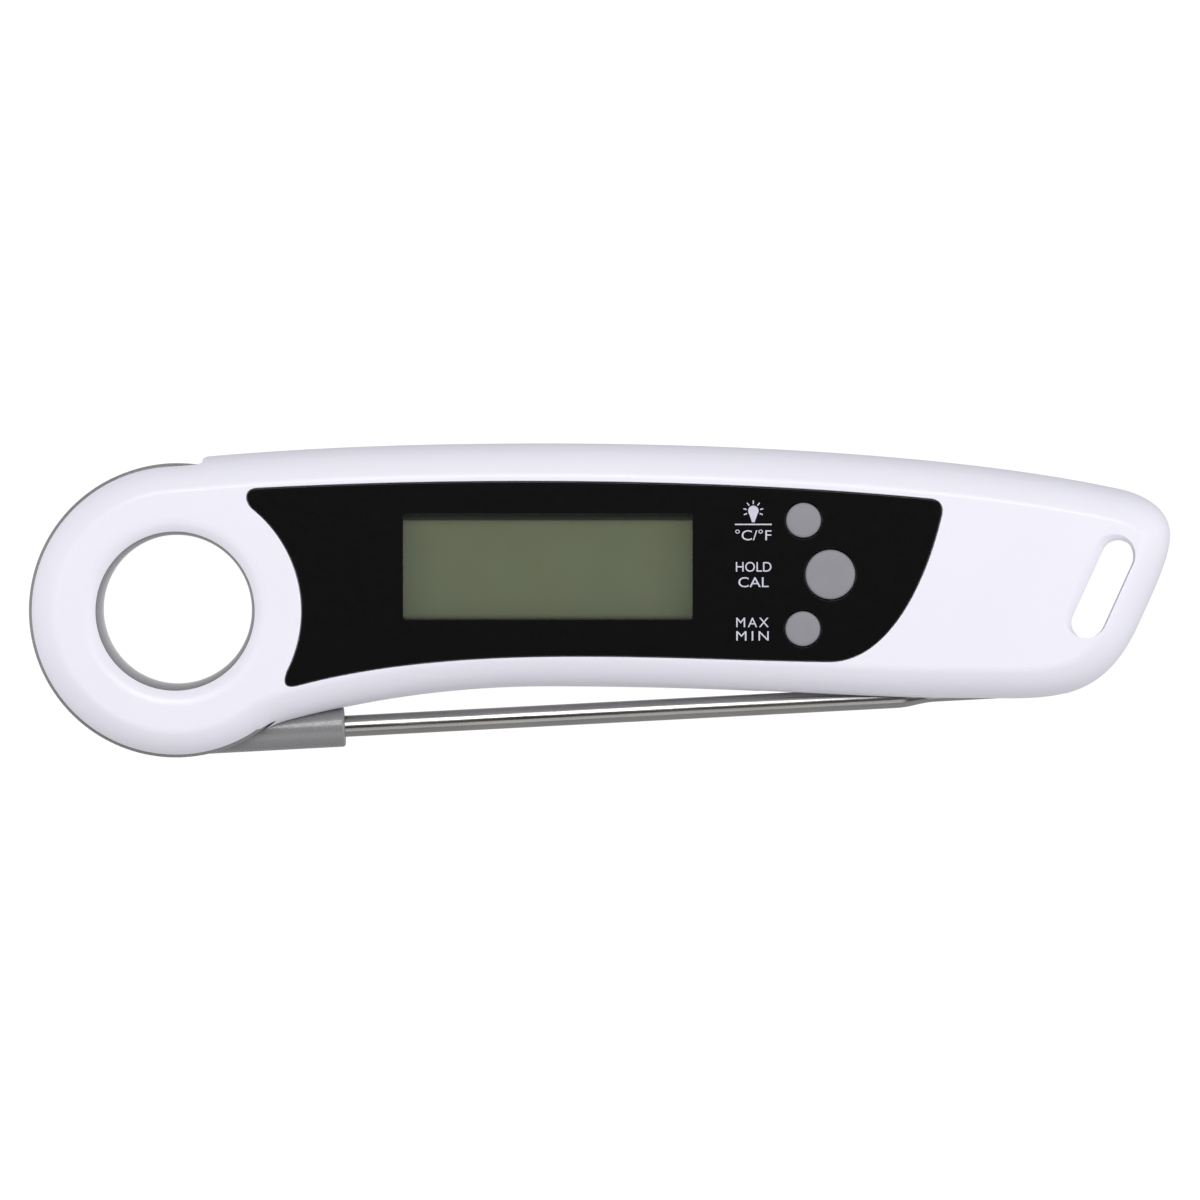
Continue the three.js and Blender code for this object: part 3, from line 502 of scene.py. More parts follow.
def looks():
    """One material for each material slot of the record, and for the printing."""
    fine = dict(grain=3200, relief=0.004)
    return {
        "white_housing": surface("white_moulding", srgb(240, 239, 249), 0.32, variation=0.008, patch=45,
                                 Specular_IOR_Level=0.45, **fine),
        "panel_black": surface("black_panel", srgb(9, 9, 9), 0.14, variation=0.04, patch=60, grain=2500,
                               relief=0.0005, rough_spread=0.015, Specular_IOR_Level=0.4),
        "window_clear": lens_material(),
        "lcd": lcd_material(),
        "grey_key": surface("key_grey", srgb(140, 139, 145), 0.55, variation=0.02, patch=300, grain=4200,
                            relief=0.008),
        "grey_hub": surface("hub_grey", srgb(131, 130, 131), 0.25, variation=0.02, patch=220, grain=6500,
                            relief=0.008, rough_spread=0.1, Specular_IOR_Level=0.75),
        "stainless": surface("brushed_steel", srgb(166, 164, 161), 0.2, metallic=1.0, variation=0.06,
                             patch=90, grain=4200, relief=0.0025, rough_spread=0.08,
                             stretch=(0.02, 1, 1), turn=PROBE_TILT),
        "magnet_nickel": surface("nickel_plate", srgb(198, 197, 192), 0.24, metallic=1.0, variation=0.05,
                                 patch=250, grain=2600, relief=0.003, rough_spread=0.08),
        "screw_steel": surface("plated_screw", srgb(170, 170, 172), 0.34, metallic=1.0, variation=0.08,
                               patch=500, grain=3800, relief=0.004, rough_spread=0.1),
        "seal_rubber": surface("seal_rubber", srgb(44, 44, 46), 0.7, variation=0.12, patch=300, grain=3000,
                               relief=0.02),
        "keypad_rubber": surface("keypad_rubber", srgb(86, 86, 92), 0.75, variation=0.06, patch=260,
                                 grain=2600, relief=0.02),
        "white_inner": surface("diffuser_white", srgb(236, 238, 230), 0.45, variation=0.02, patch=120,
                               grain=2200, relief=0.01),
        "board_green": board_material(),
        "chip_black": surface("moulded_epoxy", srgb(34, 34, 36), 0.5, variation=0.12, patch=500, grain=5200,
                              relief=0.012),
        "switch_grey": surface("plunger_grey", srgb(134, 134, 138), 0.5, variation=0.05, patch=400,
                               grain=4000, relief=0.008),
        "lamp_clear": surface("lamp_epoxy", srgb(228, 232, 226), 0.2, variation=0.03, patch=500, grain=1600,
                              relief=0.004, Transmission_Weight=0.4),
        "crystal_steel": surface("crystal_can", srgb(196, 196, 198), 0.26, metallic=1.0, variation=0.05,
                                 patch=200, grain=3000, relief=0.003, stretch=(0.05, 1, 1)),
        "contact_brass": surface("contact_brass", srgb(206, 176, 106), 0.3, metallic=1.0, variation=0.08,
                                 patch=220, grain=3000, relief=0.003, stretch=(0.1, 1, 1)),
        "lead_sheath": surface("lead_sheath", srgb(190, 184, 170), 0.5, variation=0.06, patch=400,
                               grain=2600, relief=0.01),
        "printing": surface("printed_ink", srgb(204, 204, 220), 0.5, variation=0.04, patch=900, grain=6000,
                            relief=0.004),
        # The sleeve's look is the hub grey with painted shade and light.
        "sleeve_grey_painted_shade_and_light": sleeve_painted_shade_and_light(),
        # Mask ink made dark enough to also stand in for the shadow under the window's top edge: partly painted
        # shadow.
        "mask_ink_and_painted_shadow": surface("mask_ink_and_painted_shadow", srgb(22, 24, 18), 0.4, variation=0.1, patch=400, grain=4000,
                            relief=0.003),
    }


LOOKS = looks()
SMOOTH_BELOW = math.radians(32)


def finished(piece, body, slot, nodes=(), look=None):
    """Shades a piece, gives it its finish and joins it to its body in place of the CAD nodes."""
    mesh = piece.data
    mesh.materials.clear()
    mesh.materials.append(LOOKS[look or slot])
    mesh.polygons.foreach_set("use_smooth", [True] * len(mesh.polygons))
    mesh.polygons.foreach_set("material_index", [0] * len(mesh.polygons))
    mesh.set_sharp_from_angle(angle=SMOOTH_BELOW)
    even = piece.modifiers.new("even_shading", "WEIGHTED_NORMAL")
    even.keep_sharp = True
    even.weight = 100
    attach(piece, body)
    if nodes:
        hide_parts(*nodes)
    return piece


# ---- covers ----------------------------------------------------------------------------------------


def side_profile():
    """(height above the parting plane, inset) of a cover's outside, from the seam up to the flat face."""
    half = TOP - MID
    seam = [(0.03, 0.22), (0.08, 0.08), (0.2, 0.01)]
    side = [p for p, _ in bezier([(0, 0), (0, 5.2), (1.7, 7.7), (4.0, half - 0.35)], 16)][1:]
    brow = [p for p, _ in bezier([(4.0, half - 0.35), (4.555, half), (5.0, half)], 6)]
    return seam + [(p.y, p.x) for p in side + brow] + [(half, 5.0)]


def inside_profile():
    return [(-0.2, WALL), (4, WALL + 0.5), (TOP - MID - FACE, WALL + 2.2)]


def cover_loft(name, profile, way):
    """way is 1 for the front half and -1 for the rear half."""
    half = TOP - MID
    loops = []
    for height, inset in profile:
        trim = RING_TRIM * min(1.0, (half - height) / (half - OPEN_HALF))
        loops.append([(p.x, p.y, MID + way * height) for p in housing_outline(inset, trim)])
    return skin(name, loops)


def groove_block(margin):
    half = GROOVE_HALF + margin
    return onto_probe(block("groove", GROOVE_START - margin, GROOVE_END + margin, -8, half, -half, half))


def slot_end(margin):
    """Everything from the hang slot's inner side out to the housing's far end."""
    piece = block("slot_end", -40, 40, -40, SLOT_WIDTH / 2 + margin, -1, TOP + 1)
    turn = Matrix.Rotation(math.radians(SLOT_ANGLE), 4, "Z")
    piece.data.transform(Matrix.Translation((SLOT_X * MM, SLOT_Y * MM, 0)) @ turn)
    return piece


def side_opening():
    """The stretch of side wall that is left out, with its ends eased where they meet the outside."""
    reach, head_r, foot_r = 34, 23.2, 22.7
    ease = [(-0.5, 0.0), (-0.2, 0.08), (0.0, 0.35), (0.2, 1.2)]
    points = [PIVOT]
    points += [polar(PIVOT, head_r + out, OPEN_FROM - turn) for out, turn in ease]
    points += [polar(PIVOT, reach, a) for a in range(OPEN_FROM, OPEN_TO + 1, 8)]
    points += [polar(PIVOT, foot_r + out, OPEN_TO + turn) for out, turn in reversed(ease)]
    return prism("side_opening", points, MID - OPEN_HALF, MID + OPEN_HALF)


def sealed_area(margin, half):
    """The electronics' side of the parting plane, drawn in by margin from every outer wall."""
    return cut(
        lofted("sealed_area", housing_outline, [(MID - half, 0.5 + margin), (MID + half, 0.5 + margin)]),
        disc("hub_side", PIVOT, CHAMBER_R + 0.7 + margin, 0, TOP, 128),
        groove_block(margin),
        rod("arm_side", 0, ARM_END + 0.4 + margin, ARM_R + GAP + margin),
        slot_end(margin),
    )


def seal_track():
    """The track in the parting plane for the housing's gasket."""
    outer, inner, half_deep = 0.3, 1.3, 0.45
    return cut(sealed_area(outer, half_deep), sealed_area(inner, PAST))


def room(way):
    return cut(
        cover_loft("room", inside_profile(), way),
        disc("chamber_wall", PIVOT, CHAMBER_WALL_R, -1, TOP + 1, 96),
        groove_block(RIB),
        rod("arm_wall", 0, ARM_END + 2, ARM_R + GAP + RIB),
        slot_end(SLOT_WALL),
    )


def shared_cutters():
    """What is cut from both covers: hub chamber, sleeve seat, arm relief, groove and gasket track."""
    low, high = HUB_LOW - CHAMBER_CLEAR, HUB_HIGH + CHAMBER_CLEAR
    return [
        disc("chamber", PIVOT, CHAMBER_R, low, high, 192),
        disc("sleeve_seat", PIVOT, HUB_BORE, SLEEVE_LOW.z - 0.1, SLEEVE_HIGH.z + 0.1, 128),
        side_opening(),
        rod("arm_relief", 0, ARM_END + 0.4, ARM_R + GAP),
        groove_block(0),
        seal_track(),
    ]


def ring_mouth(way):
    """The finger ring's soft mouth: way is 1 for the front face and -1 for the back."""
    face = TOP if way > 0 else 0
    if way > 0:
        falls = [(LIP_R, 3.0), (LIP_R, 1.15), (11.92, 1.06), (12.2, 0.84), (12.5, 0.6), (12.8, 0.39),
                 (13.1, 0.22), (13.45, 0.1), (13.85, 0.03), (14.3, 0.0), (14.3, -1), (0, -1), (0, 3.0)]
    else:
        falls = [(LIP_R, 3.0), (LIP_R, 0.9), (11.92, 0.5), (12.15, 0.22), (12.5, 0.06), (12.9, 0.0),
                 (12.9, -1), (0, -1), (0, 3.0)]
    return turned("ring_mouth", PIVOT, [(r, face - way * fall) for r, fall in falls], 192)


def slot_mouth():
    """The hang slot: a neck near the front, wider behind, with a sloping lip on the display's side."""
    neck = dict(grow=-0.28, shift=Vector((0.08, -0.04)), longer=0.28)
    lip = dict(grow=0.42, shift=Vector((-0.42, 0.59)), longer=-0.07)
    back, draft = 0.5, 0.3
    slope = [(0, 1.15), (0.02, 1.02), (0.1, 0.86), (0.5, 0.42), (0.8, 0.14), (0.92, 0.04), (1.0, 0),
             (1.0, -1)]
    loops = [(stadium(draft + back), -1.0), (stadium(draft + back), 0.0)]
    loops += [(stadium(draft + back * (1 - math.sin(a))), back * (1 - math.cos(a))) for a in quarter(4)[1:]]
    loops += [(stadium(draft), MID), (stadium(**neck), TOP - 2.0)]
    for k, fall in slope:
        mixed = {key: neck[key] + (lip[key] - neck[key]) * k for key in neck}
        loops.append((stadium(**mixed), TOP - fall))
    return skin("slot_mouth", [[(p.x, p.y, z) for p in loop] for loop, z in loops])


def key_hole(name, low, high):
    return disc("key_hole", centre_of(f"{name}_key"), key_radius(name) + KEY_GAP, low, high, 96)


def front_cover():
    posts = [disc("post", centre_of(n), BOSS_R - 0.3, MID + 0.1, DECK + 1, 32) for n in SCREW_NAMES]
    view = rounded_rect(LENS_LOW.x - 0.65, LENS_HIGH.x + 0.65, LENS_LOW.y - 0.65, LENS_HIGH.y + 0.65, 0.8)
    turns = [TAU * i / 24 for i in range(24)]
    section = [(PIVOT.y + TUNNEL_R * math.cos(a), TUNNEL_Z + TUNNEL_R * math.sin(a)) for a in turns]
    run = skin("tunnel", [[(x, y, z) for y, z in section] for x in (TUNNEL_X, TUNNEL_X + TUNNEL_LONG)])
    return cut(
        cover_loft("front_cover_moulding", side_profile(), 1),
        cut(room(1), *posts),
        *shared_cutters(),
        ring_mouth(1),
        slot_mouth(),
        *[disc("pilot", centre_of(n), SHAFT_R, 0, PILOT_TOP, 24) for n in SCREW_NAMES],
        *[key_hole(n, DECK - 1, TOP + 1) for n in KEY_NAMES],
        pocket("panel_recess", panel_outline, PANEL_LOW.z - 0.05, TOP, 0.12),
        prism("view", view, DECK - 1, TOP),
        disc("lead_hole", (TUNNEL_X, PIVOT.y), TUNNEL_R, HUB_HIGH - 0.7, TUNNEL_Z + 0.4, 24),
        run,
    )


def contact_slits(cell):
    """Openings in the cup's roof for the two battery contacts."""
    return [
        block("negative_slit", cell.x - 8.7, cell.x - 6.3, cell.y - 1.1, cell.y + 1.1, SLIT_LOW, SLIT_HIGH),
        block("positive_slit", cell.x + 8.2, cell.x + CUP_R, cell.y - 1.5, cell.y + 1.5, SLIT_LOW, SLIT_HIGH),
    ]


def rear_cover():
    cell = DOOR_CENTRE
    magnet_top = box_mm(MAGNET_NAMES[0])[1].z
    pad_r, pad_top = MAGNET_R + MAGNET_WALL, magnet_top + MAGNET_ROOF
    posts = [disc("post", centre_of(n), BOSS_R, 0, MID - HAIR, 32) for n in SCREW_NAMES]
    cup = disc("cup", cell, CUP_R + CUP_WALL, 0, CUP_ROOF_HIGH, 96)
    pads = [disc("pad", centre_of(n), pad_r, 0, pad_top, 48) for n in MAGNET_NAMES]
    board_posts = [disc("board_post", centre_of(n), BOARD_POST_R, 0, MID, 24) for n in BOARD_SCREW_NAMES]
    sinks = [
        pocket("sink", lambda inset, n=n: circle(centre_of(n), SINK_R - inset, 64), SCREW_SEAT + 0.2, 0, 0.25)
        for n in SCREW_NAMES
    ]
    shafts = [disc("shaft", centre_of(n), SHAFT_R, 0, MID + PAST, 24) for n in SCREW_NAMES]
    board_holes = [
        disc("board_hole", centre_of(n), BOARD_HOLE_R, BOARD_HOLE_LOW, MID + PAST, 24)
        for n in BOARD_SCREW_NAMES
    ]
    magnet_seats = [
        pocket("magnet_seat", lambda inset, n=n: circle(centre_of(n), MAGNET_R + FIT - inset, 96),
               magnet_top + HAIR, 0, 0.12)
        for n in MAGNET_NAMES
    ]
    return cut(
        cover_loft("rear_cover_moulding", side_profile(), -1),
        cut(room(-1), *posts, cup, *pads, *board_posts),
        *shared_cutters(),
        ring_mouth(-1),
        slot_mouth(),
        *sinks,
        *shafts,
        *board_holes,
        *magnet_seats,
        pocket("door_recess", lambda inset: circle(cell, DOOR_R + DOOR_GAP - inset, 192), DOOR_DEEP, 0, 0.25),
        disc("cup_room", cell, CUP_R, 0, CUP_ROOF_LOW, 96),
        *contact_slits(cell),
    )


# ---- panel, window and display ---------------------------------------------------------------------


def window_outline(inset=0.0):
    """The window in the panel, which the lens fills all but a hair."""
    ease = 0.05
    return rounded_rect(LENS_LOW.x - ease + inset, LENS_HIGH.x + ease - inset, LENS_LOW.y - ease + inset,
                        LENS_HIGH.y + ease - inset, max(0.1, 0.5 - inset))


def display_panel():
    plate = slab("panel_plate", lambda inset: panel_outline(0.12 + inset), PANEL_LOW.z, PANEL_HIGH.z, 0.12)
    holes = []
    for name in KEY_NAMES:
        r = key_radius(name) + KEY_GAP
        holes.append(pocket(
            "key_hole", lambda inset, n=name, r=r: circle(centre_of(f"{n}_key"), r - inset, 96),
            PANEL_LOW.z - 1, PANEL_HIGH.z, 0.05,
        ))
    return cut(plate, pocket("window", window_outline, PANEL_LOW.z - 1, PANEL_HIGH.z, 0.06), *holes)


def display_lens():
    return slab(
        "window_lens", lambda inset: window_outline(0.05 + inset), LENS_LOW.z, LENS_HIGH.z - 0.02, 0.05
    )


def lcd_cell():
    """Rear glass, shorter front glass and the film on it, as one stepped body."""
    x0, x1, y0, y1 = GLASS_LOW.x, GLASS_HIGH.x, GLASS_LOW.y, GLASS_HIGH.y
    ledge = 2.4

    def outline(step):
        return rounded_rect(x0 + step, x1 - step, y0 + step, y1 - step, 0.3)

    def front(step):
        return rounded_rect(x0 + step, x1 - step, y0 + ledge + step, y1 - step, 0.3)

    middle = (GLASS_LOW.z + GLASS_HIGH.z) / 2
    rows = [(GLASS_LOW.z, outline(0.05)), (GLASS_LOW.z + 0.05, outline(0)), (middle, outline(0)),
            (middle, front(0)), (GLASS_HIGH.z - 0.2, front(0)), (GLASS_HIGH.z - 0.2, front(0.25)),
            (GLASS_HIGH.z - 0.03, front(0.25)), (GLASS_HIGH.z, front(0.28))]
    return skin("lcd_cell", [[(p.x, p.y, z) for p in loop] for z, loop in rows])


def lcd_mask_and_painted_shadow():
    """The dark band along the top of the display: printed mask ink that is also painted shadow from the window's
    top edge.
    """
    low, high = GLASS_HIGH.z + 0.05, GLASS_HIGH.z + 0.15
    x0, x1 = LENS_LOW.x - 0.3, LENS_HIGH.x + 0.3
    return slab("lcd_mask_and_painted_shadow", lambda inset: rounded_rect(
        x0 + inset, x1 - inset, LENS_HIGH.y - 1.0 + inset, LENS_HIGH.y + 0.3 - inset, 0.25), low, high, 0.03)


# ---- printing --------------------------------------------------------------------------------------
INK = 0.02


def inked(name, flats):
    """One printed label from flat outlines, each a thin closed slab on the panel."""
    low, high = PANEL_HIGH.z + 0.002, PANEL_HIGH.z + INK
    points, faces = [], []
    for flat in flats:
        start, count = len(points), len(flat)
        points += [(p[0], p[1], z) for z in (low, high) for p in flat]
        faces.append(tuple(start + i for i in reversed(range(count))))
        faces.append(tuple(start + count + i for i in range(count)))
        faces += [
            (start + i, start + (i + 1) % count, start + count + (i + 1) % count, start + count + i)
            for i in range(count)
        ]
    return made_of(name, points, faces)


def lettering(name, text, x0, x1, y0, y1, spacing=1.0):
    """Plain letters of the built-in font, fitted to a box."""
    curve = bpy.data.curves.new(name, "FONT")
    curve.body = text
    curve.space_character = spacing
    curve.extrude = 0.5
    curve.resolution_u = 6
    holder = bpy.data.objects.new(name + "_letters", curve)
    bpy.context.scene.collection.objects.link(holder)
    bpy.context.view_layer.update()
    mesh = bpy.data.meshes.new_from_object(holder.evaluated_get(bpy.context.evaluated_depsgraph_get()))
    bpy.data.objects.remove(holder)
    bpy.data.curves.remove(curve)
    work = bmesh.new()
    work.from_mesh(mesh)
    bmesh.ops.remove_doubles(work, verts=work.verts, dist=1e-5)
    low = Vector([min(v.co[k] for v in work.verts) for k in range(3)])
    high = Vector([max(v.co[k] for v in work.verts) for k in range(3)])
    floor = PANEL_HIGH.z + 0.002
    for v in work.verts:
        v.co.x = (x0 + (v.co.x - low.x) / (high.x - low.x) * (x1 - x0)) * MM
        v.co.y = (y0 + (v.co.y - low.y) / (high.y - low.y) * (y1 - y0)) * MM
        v.co.z = (floor if v.co.z < 0 else floor + INK) * MM
    bmesh.ops.recalc_face_normals(work, faces=work.faces)
    work.to_mesh(mesh)
    work.free()
    piece = bpy.data.objects.new(name, mesh)
    bpy.context.scene.collection.objects.link(piece)
    return piece


def bar_flat(start, end, width):
    start, end = Vector(start), Vector(end)
    side = (end - start).normalized().orthogonal() * width / 2
    return [start - side, end - side, end + side, start + side]


def lamp_sign():
    """A small lamp with seven rays over a dividing line."""
    x, y = 22.9, 13.5
    bulb_r, neck, foot = 0.78, 0.3, 11.8
    bulb = [polar((x, y), bulb_r, a) for a in range(-35, 216, 10)]
    bulb += [Vector((x - neck, foot + 0.35)), Vector((x - neck * 0.7, foot)), Vector((x + neck * 0.7, foot)),
             Vector((x + neck, foot + 0.35))]
    rays = [
        bar_flat(polar((x, y), 1.02, a), polar((x, y), 1.52, a), 0.18)
        for a in (90, 52, 128, 12, 168, -22, 202)
    ]
    line = bar_flat((20.15, 11.48), (25.65, 11.48), 0.2)
    return inked("lamp_sign", [bulb, *rays, line])


def printing():
    labels = [
        lamp_sign(),
        lettering("unit_label", "°C/°F", 20.2, 25.6, 9.1, 10.7),
        lettering("hold_label", "HOLD", 20.3, 25.6, 4.41, 5.88),
        lettering("cal_label", "CAL", 20.67, 25.2, 2.1, 3.6),
        lettering("max_label", "MAX", 20.35, 25.2, -3.87, -2.45, 1.25),
        lettering("min_label", "MIN", 20.35, 25.2, -5.87, -4.47, 1.35),
    ]
    for label in labels:
        finished(label, "housing", "panel_black", look="printing")


# ---- keys ------------------------------------------------------------------------------------------


def key_cap(name):
    """A round key with an eased rim, a faint crown, its flange and the nub that presses the switch."""
    low, high = box_mm(f"{name}_key")
    r = key_radius(name)
    wide = r + KEY_FLANGE
    edge = 0.42
    rim = [(r - edge * (1 - math.cos(a)), high.z - 0.06 - edge * (1 - math.sin(a))) for a in quarter(6)]
    crown = [(r * k, high.z - 0.06 * k * k) for k in (0.6, 0.3)]
    profile = [
        (0, low.z), (KEY_NUB_R, low.z), (KEY_NUB_R, FLANGE_LOW), (wide, FLANGE_LOW), (wide, FLANGE_HIGH),
        (r, FLANGE_HIGH), *rim, *crown, (0, high.z),
    ]
    return turned(f"{name}_key_cap", centre_of(f"{name}_key"), profile, 96)


# ---- probe and hub ---------------------------------------------------------------------------------


def hub_and_arm():
    edge = 0.5
    low, high = HUB_LOW, HUB_HIGH
    outer = [(HUB_RIM - edge * (1 - math.sin(a)), low + edge * (1 - math.cos(a))) for a in quarter(5)]
    outer += [(r, high - (z - low)) for r, z in reversed(outer)]
    ring = turned("hub_and_arm", PIVOT, [(HUB_BORE, low), *outer, (HUB_BORE, high)], 256)
    ease = 0.45
    nose = [(ARM_END - ease * (1 - math.sin(a)), ARM_R - ease * (1 - math.cos(a))) for a in quarter(5)]
    arm = bar("arm", [(0, 0), (0, ARM_R), *nose, (ARM_END, 0)], 96)
    pocket_at = centre_of("hub_magnet")
    lead_exit = (PROBE_FOOT.x + 1.6, PROBE_FOOT.y)

    def track(name, inner, outer, bottom, top):
        return turned(name, PIVOT, [(inner, bottom), (outer, bottom), (outer, top), (inner, top)])

    return cut(
        joined(ring, arm),
        track("lead_channel", 16.5, 19.5, high - 2.7, high + 1),
        track("front_seal_track", 20.1, 21.5, high - 0.9, high + 1),
        track("rear_seal_track", 20.1, 21.5, low - 1, low + 0.9),
        track("washer_seat", HUB_BORE - 1, 16, low - 1, low + 0.8),
        disc("magnet_pocket", pocket_at, 1.6, low - 1, box_mm("hub_magnet")[1].z + HAIR, 32),
        bar("arm_bore", [
            (0.2, 0), (0.2, ARM_BORE), (ARM_END - 0.25, ARM_BORE), (ARM_END + 0.1, ARM_BORE + 0.35),
            (ARM_END + 1, ARM_BORE + 0.35), (ARM_END + 1, 0),
        ], 64),
        disc("lead_exit", lead_exit, 1, MID + GAP, high, 24),
    )


def probe_tube():
    """Drawn tube, swaged to a thin tip with a rounded point, and hollow to near its end."""
    core = THIN_R - 0.35
    swage = bezier([(TAPER, TUBE_R), (TAPER + 2.4, TUBE_R), (THIN - 2.4, THIN_R), (THIN, THIN_R)], 12)
    tip = bezier([
        (TUBE_END - 3, THIN_R), (TUBE_END - 1, THIN_R * 0.95), (TUBE_END, THIN_R * 0.45), (TUBE_END, 0),
    ], 12)
    outside = [*[(p.x, p.y) for p, _ in swage], (THIN, THIN_R), *[(p.x, p.y) for p, _ in tip]]
    return bar("steel_probe", [
        (TUBE_START, TUBE_BORE), (TUBE_START, TUBE_R - 0.1), (TUBE_START + 0.1, TUBE_R), *outside,
        (TUBE_END, 0), (TUBE_END - 4, 0), (TUBE_END - 5, core), (THIN, core), (TAPER - 1, TUBE_BORE),
    ], 72)


def ring_sleeve():
    """The hub's axle, whose bore narrows smoothly from the front to the back."""
    low, high, ease = SLEEVE_LOW.z, SLEEVE_HIGH.z, 0.25
    bore = bezier([
        (SLEEVE_MOUTH, high), (SLEEVE_INNER + 0.15, high - 4), (SLEEVE_INNER, MID),
        (SLEEVE_INNER, low + ease),
    ], 16)
    return turned("ring_sleeve", PIVOT, [
        (SLEEVE_INNER + ease, low), (SLEEVE_OUTER - ease, low), (SLEEVE_OUTER, low + ease),
        (SLEEVE_OUTER, high - ease), (SLEEVE_OUTER - ease, high), *[(p.x, p.y) for p, _ in bore],
        (SLEEVE_INNER, low + ease),
    ], 192)


# ---- back of the housing ---------------------------------------------------------------------------


def screw(node):
    """A pan head with a cross recess on a plain shank."""
    low, high = box_mm(node)
    x, y = centre_of(node)
    r = (high.x - low.x) / 2
    seat, shank, ease = SCREW_SEAT, 1, 0.08
    dome = bezier([(0, low.z), (r * 0.7, low.z), (r, low.z + 0.25), (r, low.z + 0.7)], 8)
    head = [
        *[(p.x, p.y) for p, _ in dome], (r, low.z + 0.7), (r, seat - ease), (r - ease, seat), (shank, seat),
        (shank, high.z - 0.6), (0.4, high.z), (0, high.z),
    ]
    body = turned(node + "_pan", (x, y), head, 64)
    deep, arm, half = low.z + 0.75, 1.25, 0.26
    cross = []
    for turn in (0, 90):
        loops = [
            [(-arm * k, -half * k), (arm * k, -half * k), (arm * k, half * k), (-arm * k, half * k)]
            for k in (1.05, 1.0, 0.6)
        ]
        spin = Matrix.Rotation(math.radians(turn), 2)
        cross.append(skin("recess", [
            [(*(spin @ Vector(p) + Vector((x, y))), z) for p in loop]
            for loop, z in zip(loops, (low.z - 1, low.z + 0.1, deep))
        ]))
    return cut(body, *cross)


def magnet(node):
    low, high = box_mm(node)
    return slab(
        node + "_disc", lambda inset: circle(centre_of(node), MAGNET_R - inset, 96), low.z, high.z, 0.2
    )


def battery_door():
    """The turning lid: a coin slot, three lugs and the seal's track."""
    lug_low, lid_high = 2.0, 2.1
    lid = slab(
        "battery_lid", lambda inset: circle(DOOR_CENTRE, DOOR_R - inset, 192), DOOR_LOW.z, lid_high, 0.25
    )
    lugs = []
    for angle in (30, 150, 270):
        lug = block("lug", CUP_R - 1.4, CUP_R - 0.3, -1.6, 1.6, lug_low, DOOR_HIGH.z)
        turn = Matrix.Rotation(math.radians(angle), 4, "Z")
        lug.data.transform(Matrix.Translation((DOOR_CENTRE.x * MM, DOOR_CENTRE.y * MM, 0)) @ turn)
        lugs.append(lug)
    track = turned("seal_track", DOOR_CENTRE, [
        (11.5, lid_high - 0.75), (12.5, lid_high - 0.75), (12.5, lid_high + 0.1), (11.5, lid_high + 0.1),
    ])
    cx, cy = DOOR_CENTRE
    half_long, half_wide = 7, 0.8

    def coin_outline(inset):
        return rounded_rect(cx - half_long + inset, cx + half_long - inset, cy - half_wide + inset,
                            cy + half_wide - inset, 0.75 - inset)

    coin = pocket("coin_slot", coin_outline, DOOR_LOW.z + 1, DOOR_LOW.z, 0.15)
    return cut(joined(lid, *lugs), track, coin)


# ---- assembly --------------------------------------------------------------------------------------


def build_object():
    finished(front_cover(), "housing", "white_housing", ["front_cover"])
    finished(rear_cover(), "housing", "white_housing", ["rear_cover"])
    finished(display_panel(), "housing", "panel_black", ["display_panel"])
    finished(display_lens(), "housing", "window_clear", ["display_window"])
    finished(lcd_cell(), "housing", "lcd", ["lcd_glass"])
    # The dark band on the display is partly printed mask and partly painted shadow.
    finished(lcd_mask_and_painted_shadow(), "housing", "lcd", look="mask_ink_and_painted_shadow")
    printing()
    for name in KEY_NAMES:
        finished(key_cap(name), f"{name}_key", "grey_key", [f"{name}_key"])
    finished(hub_and_arm(), "probe", "grey_hub", ["probe_hub"])
    finished(probe_tube(), "probe", "stainless", ["probe_tube"])
    finished(ring_sleeve(), "housing", "grey_hub", ["pivot_sleeve"], look="sleeve_grey_painted_shade_and_light")
    for name in SCREW_NAMES:
        finished(screw(name), "housing", "screw_steel", [name])
    for name in MAGNET_NAMES:
        finished(magnet(name), "housing", "magnet_nickel", [name])
    finished(battery_door(), "battery_door", "white_housing", ["battery_door"])


def dress_frame():
    """Gives each CAD node the finish of its material slot."""
    slots = {row["node"]: row["material_slot"] for row in frame["record"]["subparts"]}
    for name, node in frame["nodes"].items():
        node.data.materials.clear()
        node.data.materials.append(LOOKS[slots[name]])


# ---- studio ----------------------------------------------------------------------------------------


def add_camera():
    """Above the display, a little towards its top edge, and far enough away to look almost parallel."""
    data = bpy.data.cameras.new("camera")
    data.lens = 440
    data.sensor_width = 36
    width = 0.18
    distance = width * data.lens / data.sensor_width
    aim = Vector((0, 0, MID * MM))
    lean = math.radians(1.15)
    away = Vector((0, math.sin(lean), math.cos(lean)))
    camera = bpy.data.objects.new("camera", data)
    camera.location = aim + away * distance
    camera.rotation_euler = (-lean, 0, 0)
    bpy.context.scene.collection.objects.link(camera)
    bpy.context.scene.camera = camera


